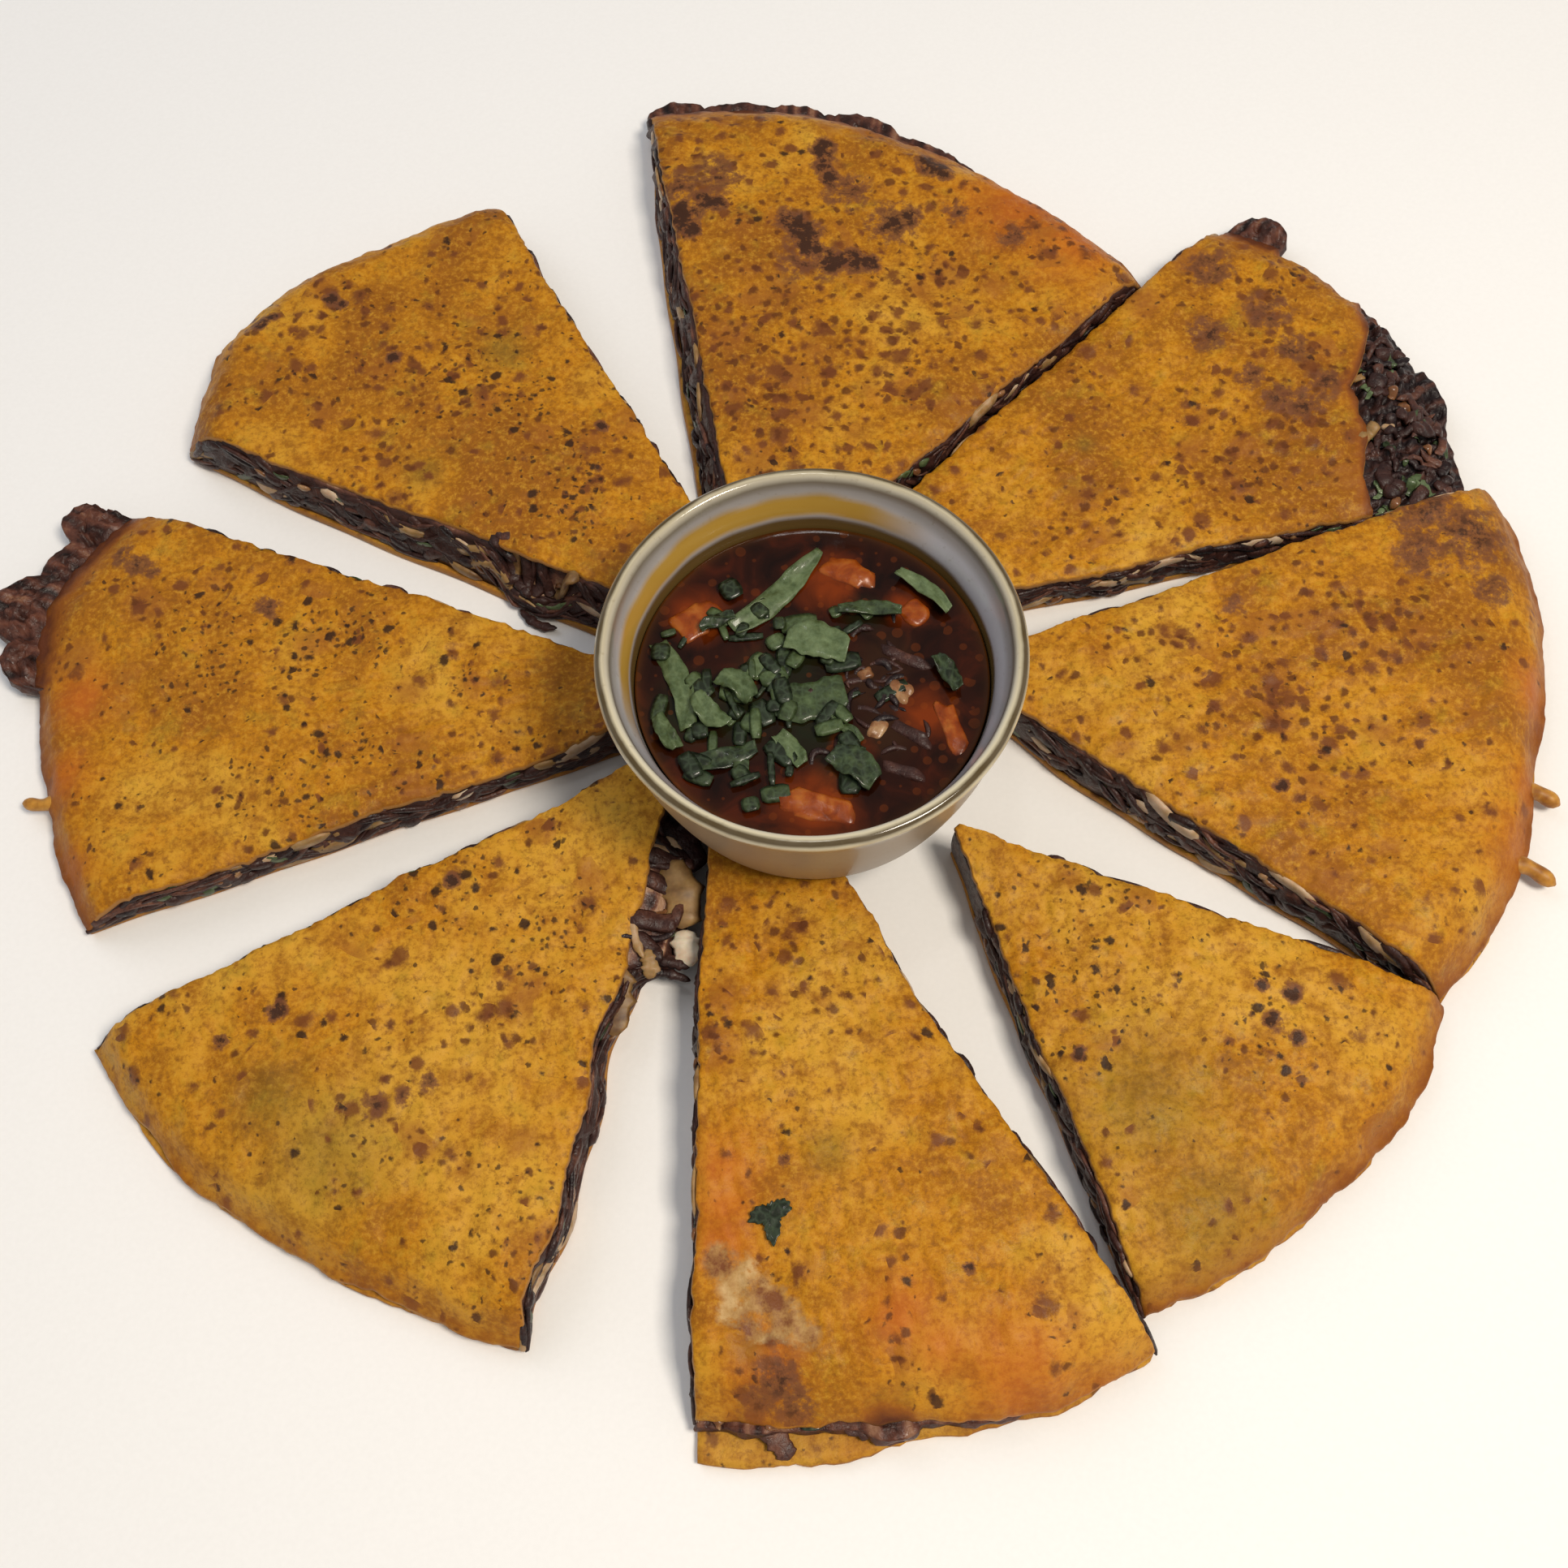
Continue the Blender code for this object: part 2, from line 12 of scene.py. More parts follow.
import bpy
import numpy as np
from mathutils import Color, Matrix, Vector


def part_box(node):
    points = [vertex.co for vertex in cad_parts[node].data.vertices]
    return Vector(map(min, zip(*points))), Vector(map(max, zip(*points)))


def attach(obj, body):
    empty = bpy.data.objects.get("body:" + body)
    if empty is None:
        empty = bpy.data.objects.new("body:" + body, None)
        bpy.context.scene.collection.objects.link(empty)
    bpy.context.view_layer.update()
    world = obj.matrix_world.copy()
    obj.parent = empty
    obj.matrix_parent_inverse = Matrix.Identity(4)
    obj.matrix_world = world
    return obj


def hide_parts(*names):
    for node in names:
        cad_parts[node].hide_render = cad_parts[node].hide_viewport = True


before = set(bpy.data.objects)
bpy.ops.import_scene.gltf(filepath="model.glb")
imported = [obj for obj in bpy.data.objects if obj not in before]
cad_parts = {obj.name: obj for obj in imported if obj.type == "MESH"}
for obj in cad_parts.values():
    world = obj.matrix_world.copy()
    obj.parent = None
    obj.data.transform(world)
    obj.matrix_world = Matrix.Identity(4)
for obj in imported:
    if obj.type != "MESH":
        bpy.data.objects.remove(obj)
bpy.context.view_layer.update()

bl_info = {
    "name": "Birria pizza",
    "version": (1, 0, 0),
    "blender": (4, 5, 0),
    "location": "View3D > Sidebar > Birria",
    "description": "Builds a sliced birria pizza with its cup of consomme, and a plain studio",
    "category": "Add Mesh",
}

MM = 0.001
UP = np.array([0.0, 0.0, 1.0])
BODY = "root"
CUP_LOW, CUP_HIGH = (np.array(corner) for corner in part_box("cup"))
CUP_AXIS = (CUP_LOW[:2] + CUP_HIGH[:2]) / 2  # the slices are laid out round it

# The slices' layers and how their heights change outwards
SKIN = 2.1 * MM
EDGE_HEIGHT = 7.0 * MM
SHOULDER = 15.0 * MM
BED_HEIGHT = 16.0 * MM
BED_RADIUS = 42.0 * MM
BED_BLEND = 26.0 * MM
SWELL = 0.8 * MM
PINCH = 2.6 * MM  # how far an edge that is fried shut is pressed down
CROWD_RADIUS = 44.0 * MM
CROWD_BLEND = 15.0 * MM

SHUT_WIDTH = 6.0 * MM  # over what width a fried shut edge is pressed down
CUT_WIDTH = 1.8 * MM  # over what width a face drops towards a cut
COARSE, FINE = 5.0 * MM, 2.2 * MM  # sizes of the filling's lumps
SPREAD_LOW, SPREAD_HIGH = 0.75, 0.15  # how far the filling spreads, below and above
PUSHED_LOW, PUSHED_HIGH = 0.9, 0.8  # how far a push moves it, below and above
WAVES = 16  # how many sine waves make up an uneven field
UPPER_GRID, LOWER_GRID = (130, 110), (80, 64)  # rows outwards and columns across
FILLING_GRID, CRAGGY_GRID = (90, 80), (180, 160, 0.6)  # the last has its rows drawn outwards
DOMES = 34  # how many low domes the dough of each slice has


def linear(code):
    """A colour written as sRGB hex, as the linear light that shaders work in, with alpha 1."""
    code = code.lstrip("#")
    parts = [int(code[i:i + 2], 16) / 255 for i in (0, 2, 4)]
    parts = [p / 12.92 if p <= 0.04045 else ((p + 0.055) / 1.055) ** 2.4 for p in parts]
    return (*parts, 1.0)


class Slice(NamedTuple):
    """One slice, with lengths in millimetres and angles in degrees, from +X anticlockwise."""

    point: tuple
    first: float
    opening: float
    blunt: float
    reach: tuple
    thick: float
    spread: tuple = (0, 0)
    bow: tuple = (0, 0)
    ragged: tuple = (0.4, 0.4)
    torn: tuple = (0, 0, 0, 0, 0)
    spill: tuple = (0, 0, 0, 0, 0)
    crags: tuple = ()
    tongue: tuple = ()


SLICES = (
    Slice((-12, 37), 40.3, 56.5, 9.0, (143, 148, 154, 162, 165), 16.5, spread=(0.5, 7.0),
          ragged=(0.2, 0.4),
          crags=((0.72, 0.34, 2.8, 1), (0.50, 0.07, 3, 1), (0.62, 0.07, 5, 2), (0.74, 0.06, 4, 1),
                 (0.85, 0.06, 3, 2), (0.95, 0.05, 5, 1))),
    Slice((-14, 29), 8.5, 32.7, 22.0, (180, 185, 188, 186, 177), 13.5, bow=(2.0, 0.0),
          ragged=(0.4, 0.2),
          torn=(27, 26, 24, 22, 9, 0, 0, 0, 0), crags=((0.30, 0.08, 2, 2), (0.92, 0.07, 7, 4))),
    Slice((32, 16), -40.6, 57.0, 3.0, (130, 135, 136, 143, 146), 16.0, spread=(2.5, 0.5),
          crags=((0.28, 0.03, 8, 0), (0.42, 0.03, 6, 0))),
    Slice((29, -24), -75.0, 50.8, 1.5, (109, 110, 110, 113, 112), 14.0, spread=(1.5, 0.5)),
    Slice((-22, 14), -94.2, 32.2, 10.0, (158, 160, 164, 171, 171), 16.0, spread=(1.0, 0.5),
          bow=(0.8, -1.5), spill=(7, 8, 3, 0, 0),
          crags=((0.12, 0.06, 1.5, 2), (0.42, 0.06, 3, 1))),
    Slice((-30, 1), -155.8, 49.3, 4.0, (144, 142, 137, 134, 134), 14.0, spread=(0.5, 2.5),
          ragged=(0.5, 1.6), tongue=(20, 56, 9, 9.0)),
    Slice((-22, 13), 155.5, 41.0, 6.0, (158, 167, 162, 156, 151), 12.5, bow=(1.5, 0.0),
          crags=((0.03, 0.07, 13, 3), (0.14, 0.08, 8, 2), (0.26, 0.09, 13, 4),
                 (0.38, 0.06, 8, 3), (0.69, 0.03, 6, 0))),
    Slice((-2, 20), 116.0, 36.4, 14.0, (168, 173, 180, 182, 171), 18.0, spread=(0.0, 6.0),
          bow=(-1.5, 0.0), tongue=(58, 80, 3, 5.0)),
)


class Browning(NamedTuple):
    """How one slice's face was browned. Densities run from 0 to 1. Marks are places and radii
    in millimetres, from the cup's axis."""

    tone: float  # 0 deep and orange, 1 pale and yellow
    blister: float  # density of reddish brown blisters all over
    pepper: float  # density of fine black specks all over
    rim: float  # how brown the round edge is
    blisters: tuple = ()
    chars: tuple = ()
    peppers: tuple = ()
    oils: tuple = ()
    herbs: tuple = ()
    tears: tuple = ()
    scorches: tuple = ()


BROWNING = (
    Browning(0.36, 0.38, 0.05, 0.5,
             blisters=((-9, 109, 20), (6, 95, 18), (-6, 87, 14), (19, 104, 18), (-14, 168, 9),
                       (31, 103, 12), (42, 128, 12)),
             chars=((-23, 155, 5.0), (-18, 159, 4.0), (-14, 157, 3.0), (5, 150, 4.5), (8, 146, 5.0),
                    (9, 141, 4.5), (15, 175, 3.6), (15, 170, 3.6), (16, 165, 3.0), (43, 167, 4.0),
                    (46, 164, 3.6), (14, 136, 4.6), (20, 136, 4.4), (24, 135, 3.4), (31, 148, 3.2),
                    (36, 150, 3.2), (-22, 150, 3.6)),
             oils=((66, 152, 16), (78, 138, 14)),
             scorches=((31, 148, 9), (9, 137, 10), (-14, 168, 9), (-24, 165, 8), (48, 150, 5),
                       (20, 160, 8), (62, 140, 5))),
    Browning(0.45, 0.22, 0.06, 0.5,
             blisters=((106, 84, 11), (117, 78, 12), (122, 68, 11), (108, 69, 9), (95, 65, 9),
                       (123, 108, 9), (130, 99, 8), (119, 123, 8), (136, 89, 8), (126, 118, 9),
                       (70, 53, 9), (96, 47, 9)),
             scorches=((112, 128, 8), (124, 112, 8), (128, 100, 6), (108, 106, 7), (122, 85, 6),
                       (116, 92, 5), (134, 88, 6), (128, 82, 7)),
             herbs=((72, 75, 2.6),)),
    Browning(0.45, 0.24, 0.05, 0.6,
             blisters=((98, 7, 16), (108, 12, 17), (106, -4, 13), (116, -9, 11), (130, 11, 10),
                       (119, 25, 8), (85, 17, 8), (92, 2, 10), (140, 20, 9)),
             oils=((160, -40, 14), (166, 0, 7), (160, -25, 7)),
             scorches=((158, 40, 12), (150, 46, 12), (160, 25, 6), (146, 36, 8), (100, 26, 4)),
             chars=((102, -21, 1.8),)),
    Browning(0.60, 0.14, 0.10, 0.6,
             chars=((96, -68, 2.2), (91, -74, 2.4), (95, -78, 1.8), (50, -78, 1.8), (90, -66, 1.5)),
             peppers=((93, -72, 9), (51, -76, 7), (60, -40, 10), (56, -60, 12)),
             herbs=((62, -89, 16), (72, -112, 14))),
    Browning(0.44, 0.15, 0.03, 0.3,
             blisters=((-11, -46, 11), (0, -62, 9), (-20, -68, 9)),
             oils=((-26, -97, 7), (-26, -104, 7), (-26, -111, 7), (-20, -133, 7), (30, -140, 12),
                   (50, -150, 12), (8, -128, 8), (15, -134, 7)),
             herbs=((-4, -95, 5), (-22, -132, 4)), chars=((-13, -96, 1.4), (22, -120, 1.4)),
             scorches=((-17, -138, 6), (-21, -142, 5), (-14, -143, 5), (-17, -130, 3.5),
                       (-24, -126, 3)),
             tears=((-27, -115, 3.5), (-23, -119, 4.5), (-19, -123, 4.5), (-15, -127, 4),
                    (-11, -130, 3), (-25, -125, 3), (-21, -129, 2.5))),
    Browning(0.74, 0.16, 0.12, 0.4,
             blisters=((-74, -62, 9), (-95, -80, 9), (-66, -110, 8)),
             chars=((-119, -56, 2.4), (-131, -62, 1.8), (-82, -29, 2.0)),
             peppers=((-80, -31, 10), (-60, -43, 13), (-70, -108, 12)),
             scorches=((-97, -78, 4), (-91, -77, 3), (-86, -74, 3)),
             herbs=((-107, -87, 14), (-118, -76, 10))),
    Browning(0.38, 0.16, 0.12, 0.7,
             blisters=((-79, 6, 6), (-160, 45, 9), (-140, 55, 8), (-130, 55, 7)),
             peppers=((-140, 34, 13), (-122, 36, 14), (-108, 34, 11), (-112, -2, 13),
                      (-125, 0, 9), (-96, 39, 5), (-80, 22, 6), (-67, 8, 6)),
             oils=((-174, 5, 7), (-171, 25, 8), (-172, -18, 7)),
             scorches=((-164, 63, 4), (-160, 60, 4), (-156, 58, 3), (-128, 46, 4))),
    Browning(0.30, 0.26, 0.12, 0.5,
             blisters=((-115, 133, 9), (-133, 127, 7), (-99, 112, 11), (-93, 113, 9),
                       (-79, 104, 9), (-106, 78, 10), (-100, 75, 9), (-50, 74, 10)),
             chars=((-115, 133, 2.2), (-112, 131, 1.8), (-133, 127, 2.4), (-130, 129, 1.8),
                    (-46, 88, 1.8), (-98, 113, 2.0)),
             peppers=((-53, 68, 12), (-66, 96, 9), (-79, 108, 12)),
             herbs=((-71, 114, 6), (-90, 78, 5))),
)


def ease(t):
    """0 below 0, 1 above 1, and a smooth rise between."""
    t = np.clip(t, 0.0, 1.0)
    return t * t * (3 - 2 * t)


def direction(degrees):
    angle = np.radians(degrees)
    return np.stack([np.cos(angle), np.sin(angle)], axis=-1)


def off_axis(place):
    """How far places on the table, from the cup's axis, are from it."""
    return np.hypot(place[..., 0], place[..., 1])


def clear_of_cup(place):
    """0 under the cup and 1 well outside it, with a smooth change between."""
    return ease((off_axis(place) - CROWD_RADIUS) / CROWD_BLEND)


def stretch(length, start, end, blend):
    """1 between two lengths in millimetres, with a smooth change this long inside each end."""
    return ease((length / MM - start) / blend) * ease((end - length / MM) / blend)


def across_values(values, across):
    """Evenly spaced values in millimetres, read between them in metres."""
    return np.interp(across, np.linspace(0, 1, len(values)), values) * MM


def inside_edge(piece, length, across):
    """How far in from the slice's round edge a place is."""
    return across_values(piece.reach, across) - length


def bumps(places, size, seed):
    """An uneven field with a spread of 1: the sum of plane sine waves, each about this long,
    that run in random directions."""
    random = np.random.default_rng(seed)
    ways = random.normal(size=(WAVES, places.shape[-1]))
    ways /= np.linalg.norm(ways, axis=1)[:, None] * size * random.uniform(0.6, 1.5, WAVES)[:, None]
    turns = places @ ways.T * 2 * math.pi + random.uniform(0, 2 * math.pi, WAVES)
    return np.sin(turns).sum(axis=-1) * math.sqrt(2 / WAVES)


def ragged_line(across, seed):
    """An uneven line along a round edge: waves about 30, 13, 7 and 4 mm long, the shorter ones
    lower."""
    line = np.stack([across * 0.15, np.full_like(across, seed * 0.37)], axis=-1)
    return sum(bumps(line, size * MM, seed + size) * size / 30 for size in (30, 13, 7, 4)) / 1.3


def outward_ways(piece):
    """Ways straight out of the first and the last cut, on the table."""
    first, last = direction(piece.first), direction(piece.first + piece.opening)
    return np.array([[first[1], -first[0]], [-last[1], last[0]]])


def crag_rise(piece, across):
    """How far the crisp lumps stand past the edge and above it: half ellipses across."""
    out, rise = np.zeros_like(across), np.zeros_like(across)
    for place, half, length, height in piece.crags:
        share = np.sqrt(np.clip(1 - ((across - place) / half) ** 2, 0, 1))
        out = np.maximum(out, share * length * MM)
        rise = np.maximum(rise, share * height * MM)
    return out, rise


def plain_edge(piece, across):
    """1 where both tortillas are fried shut along the round edge, and 0 where filling comes out
    or the upper one is torn, with a smooth change between."""
    out, _ = crag_rise(piece._replace(crags=tuple(c for c in piece.crags if c[3] > 0)), across)
    out = np.maximum(out, across_values(piece.torn, across))
    return ease(1 - np.maximum(out, across_values(piece.spill, across)) / (1.5 * MM))


def plan(piece, length, across, spread=0.0, tongue=0.0):
    """Places on the table, from the cup's axis, this far from the slice's point and this far
    across its opening. The cuts bow, wander and spread by weights that fade to the middle."""
    outward = outward_ways(piece)
    share = length / across_values(piece.reach, across)
    along = direction(piece.first + across * piece.opening)
    place = np.array(piece.point) * MM + length[..., None] * along
    clear = clear_of_cup(place)
    for side in (0, 1):
        weight = np.abs(1 - side - across) ** 3
        bow = piece.bow[side] * MM * 4 * share * (1 - share)
        wander = piece.ragged[side] * MM * np.sin(share * 23 + side * 2) * np.sin(share * 9)
        out = spread * piece.spread[side] * MM * (1 - share ** 3)
        place = place + (weight * clear * (bow + wander + out))[..., None] * outward[side]
    if tongue and piece.tongue:
        start, end, far, _ = piece.tongue
        push = stretch(length, start, end, 8) * tongue * far * MM * ease((across - 0.9) / 0.1)
        place = place + push[..., None] * outward[1]
    return place


def upper_height(piece, length, across, place):
    """Height of the upper tortilla: level under the cup, swelling slowly beyond it, and bent
    down in a quarter wave over the last stretch before the round edge."""
    x, y = place[..., 0], place[..., 1]
    phase = piece.first
    swell = np.sin(x * 61 + phase) * np.cos(y * 53 + 2 * phase) + 0.6 * np.sin((x + y) * 97)
    own = piece.thick * MM + SWELL * swell
    body = BED_HEIGHT + (own - BED_HEIGHT) * ease((off_axis(place) - BED_RADIUS) / BED_BLEND)
    inward = inside_edge(piece, length, across)
    bend = np.sin(np.clip(inward / SHOULDER, 0, 1) * math.pi / 2)
    shut = PINCH * plain_edge(piece, across) * ease(1 - inward / SHUT_WIDTH)
    return EDGE_HEIGHT + (body - EDGE_HEIGHT) * bend - shut


def slice_grid(piece, far, rows, columns, bunch=1.0):
    """Lengths and places across for a grid from the blunt point out to far. Below 1, bunch
    draws its rows together towards far."""
    across = np.linspace(0, 1, columns)
    near = piece.blunt * MM / np.cos(np.radians((across - 0.5) * piece.opening))
    share = np.linspace(0, 1, rows)[:, None] ** bunch
    return near + (far(across) - near) * share, np.broadcast_to(across, (rows, columns))


def raised(place, height):
    """Places from the cup's axis and heights, as points of the whole model."""
    return np.concatenate([place + CUP_AXIS, height[..., None]], axis=-1)


def patches(place, marks):
    """A field that is 1 at each mark and falls off round it like a bell."""
    field = np.zeros(place.shape[:-1])
    for x, y, radius in marks:
        gap = off_axis(place - np.array((x, y)) * MM)
        field = np.maximum(field, np.exp(-(gap / (radius * MM)) ** 2))
    return field


def grid_quads(rows, columns):
    """Faces of a grid. They face up where rows run outwards and columns anticlockwise."""
    grid = np.arange(rows * columns).reshape(rows, columns)
    corners = [grid[:-1, :-1], grid[1:, :-1], grid[1:, 1:], grid[:-1, 1:]]
    return np.stack(corners, axis=-1).reshape(-1, 4)


def border(rows, columns):
    """Places round the border of a grid, anticlockwise seen from above."""
    grid = np.arange(rows * columns).reshape(rows, columns)
    return np.concatenate([grid[:-1, 0], grid[-1, :-1], grid[:0:-1, -1], grid[0, :0:-1]])


def shell(lower, upper, rings):
    """A closed skin: a grid below, a grid above, and rings of points round the side, from the
    top down. Returns the points and the faces."""
    rows, columns = upper.shape[:2]
    count = rows * columns
    edge = border(rows, columns)
    loops = [edge]
    loops += [2 * count + i * len(edge) + np.arange(len(edge)) for i in range(len(rings))]
    loops.append(edge + count)
    faces = [grid_quads(rows, columns), grid_quads(rows, columns)[:, ::-1] + count]
    for over, under in zip(loops, loops[1:]):
        faces.append(np.stack([over, under, np.roll(under, -1), np.roll(over, -1)], axis=-1))
    parts = [upper.reshape(-1, 3), lower.reshape(-1, 3), np.asarray(rings).reshape(-1, 3)]
    return np.concatenate(parts), np.concatenate(faces)


def side_rings(lower, upper, count, bulge, reach=1):
    """Rings of points from the upper border down to the lower one, pushed outwards by a half
    round section. The way out is square to the line between the points this many before and
    after. Returns the rings with each point's way out and its share of the way down."""
    edge = border(*upper.shape[:2])
    top, bottom = upper.reshape(-1, 3)[edge], lower.reshape(-1, 3)[edge]
    run = np.roll(top, -reach, axis=0) - np.roll(top, reach, axis=0)
    out = np.stack([run[:, 1], -run[:, 0], np.zeros(len(edge))], axis=-1)
    out /= np.linalg.norm(out, axis=1)[:, None] + 1e-12
    down = (np.arange(count) + 1)[:, None] / (count + 1)
    rings = top + (bottom - top) * down[..., None]
    rings = rings + (bulge * np.sin(math.pi * down))[..., None] * out
    return rings, np.broadcast_to(out, rings.shape), np.broadcast_to(down, rings.shape[:2])


def sweep(paths, wide, thick, up, sides):
    """Tubes with an oval section, carried along many paths at once. paths is tubes by steps by
    3, wide and thick are the half sizes at each step, and up is the way of the thick half.
    Each tube ends in a flat cap, so a size that falls towards the ends closes it."""
    run = np.gradient(paths, axis=1)
    run /= np.linalg.norm(run, axis=-1, keepdims=True) + 1e-12
    side = np.cross(run, np.broadcast_to(up, paths.shape))
    side /= np.linalg.norm(side, axis=-1, keepdims=True) + 1e-12
    lift = np.cross(side, run)
    turn = np.linspace(0, 2 * math.pi, sides, endpoint=False)
    points = (paths[:, :, None]
              + np.cos(turn)[:, None] * (wide[..., None] * side)[:, :, None]
              + np.sin(turn)[:, None] * (thick[..., None] * lift)[:, :, None])
    tubes, steps = paths.shape[:2]
    index = np.arange(tubes * steps * sides).reshape(tubes, steps, sides)
    here, after = index[:, :-1], index[:, 1:]
    corners = [here, after, np.roll(after, -1, axis=2), np.roll(here, -1, axis=2)]
    faces = [np.stack(corners, axis=-1).reshape(-1, 4), index[:, 0], index[:, -1, ::-1]]
    return points.reshape(-1, 3), faces


def lumps(centres, halves, turns, seed, rings=12, sides=24):
    """Rounded lumps: boxes with soft corners, worked out from two angles, with an uneven skin.
    centres and halves are lumps by 3, turns are degrees about +Z."""
    count = len(centres)
    rise = np.linspace(-math.pi / 2 + 0.12, math.pi / 2 - 0.12, rings)[:, None]
    turn = np.linspace(0, 2 * math.pi, sides, endpoint=False)[None, :]

    def soft(value):
        return np.sign(value) * np.abs(value) ** 0.55

    unit = np.stack([soft(np.cos(rise)) * soft(np.cos(turn)),
                     soft(np.cos(rise)) * soft(np.sin(turn)),
                     soft(np.sin(rise)) * np.ones_like(turn)], axis=-1)
    shape = unit[None] * np.asarray(halves)[:, None, None]
    spot = shape + np.arange(count)[:, None, None, None] * 0.05
    shape = shape * (1 + 0.08 * bumps(spot, 4 * MM, seed))[..., None]
    cos, sin = np.cos(np.radians(turns))[:, None, None], np.sin(np.radians(turns))[:, None, None]
    points = np.stack([shape[..., 0] * cos - shape[..., 1] * sin,
                       shape[..., 0] * sin + shape[..., 1] * cos, shape[..., 2]], axis=-1)
    points = points + np.asarray(centres)[:, None, None]
    index = np.arange(count * rings * sides).reshape(count, rings, sides)
    here, after = index[:, :-1], index[:, 1:]
    corners = [here, np.roll(here, -1, axis=2), np.roll(after, -1, axis=2), after]
    faces = [np.stack(corners, axis=-1).reshape(-1, 4), index[:, 0, ::-1], index[:, -1]]
    return points.reshape(-1, 3), faces


def joined(parts):
    """Several (points, faces) as one, each face keeping to its own points."""
    points, faces, start = [], [], 0
    for some_points, some_faces in parts:
        some_faces = some_faces if isinstance(some_faces, list) else [some_faces]
        faces += [block + start for block in some_faces]
        points.append(some_points)
        start += len(some_points)
    return np.concatenate(points), faces


def lay_piece(name, points, faces, finish, stands_for=(), fields=None):
    """Puts points and blocks of faces into one mesh, with its fields and finish, and lets it
    ride on the body."""
    blocks = faces if isinstance(faces, list) else [faces]
    mesh = bpy.data.meshes.new(name)
    mesh.from_pydata(points.tolist(), [], [face for block in blocks for face in block.tolist()])
    for label, values in (fields or {}).items():
        if values.ndim == 2:
            whole = np.concatenate([values, np.ones((len(values), 1))], axis=1)
            mesh.attributes.new(label, "FLOAT_COLOR", "POINT").data.foreach_set(
                "color", whole.astype(np.float32).ravel())
        else:
            mesh.attributes.new(label, "FLOAT", "POINT").data.foreach_set(
                "value", values.astype(np.float32))
    mesh.shade_smooth()
    mesh.materials.append(finish)
    if mesh.validate():
        raise RuntimeError(f"{name} had faces that had to be mended")
    piece = bpy.data.objects.new(name, mesh)
    bpy.context.scene.collection.objects.link(piece)
    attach(piece, BODY)
    if stands_for:
        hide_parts(*stands_for)
    return piece


# Finishes


def rgba(value):
    """A colour in hex, or a setting's, as the numbers a socket takes. Other values stay."""
    if isinstance(value, str):
        return linear(value)
    return (*value, 1.0) if isinstance(value, Color) else value


def add(tree, kind, sockets=(), stops=(), **settings):
    """Adds one node. settings are its own choices. sockets gives inputs, in order or by name or
    place, a value or another node's output. stops are a ramp's places and colours."""
    made = tree.nodes.new("ShaderNode" + kind)
    for name, value in settings.items():
        setattr(made, name, value)
    for name, value in sockets.items() if isinstance(sockets, dict) else enumerate(sockets):
        if isinstance(value, bpy.types.Node):
            value = value.outputs[0]
        if isinstance(value, bpy.types.NodeSocket):
            tree.links.new(value, made.inputs[name])
        else:
            made.inputs[name].default_value = rgba(value)
    for i, (place, colour) in enumerate(stops):
        ramp = made.color_ramp.elements
        stop = ramp[i] if i < 2 else ramp.new(place)
        stop.position, stop.color = place, rgba(colour)
    return made


def new_finish(name, **sockets):
    """A material of one Principled shader with these socket values. Returns it with a function
    that adds its nodes, its shader and the object's own coordinates."""
    made = bpy.data.materials.new(name)
    made.use_nodes = True
    made.node_tree.nodes.clear()
    node = partial(add, made.node_tree)
    shader = node("BsdfPrincipled", {key.replace("_", " "): sockets[key] for key in sockets})
    node("OutputMaterial", {"Surface": shader})
    return made, node, shader, node("TexCoord").outputs["Object"]


def dress(node, shader, colour, relief, strength, depth, gloss=None):
    """Joins a shader to its colour, to bumps this strong and deep, and to its roughness where
    that varies."""
    bump = node("Bump", {"Height": relief, "Strength": strength, "Distance": depth})
    for name, value in (("Base Color", colour), ("Normal", bump), ("Roughness", gloss)):
        if isinstance(value, bpy.types.Node):
            value = value.outputs[0]
        if value:
            shader.id_data.links.new(value, shader.inputs[name])


def layered(node, base, layers):
    """Colours laid over a base one after another, each by its own mask."""
    for mask, colour in layers:
        base = node("Mix", {0: mask, 6: base, 7: colour}, data_type="RGBA").outputs[2]
    return base


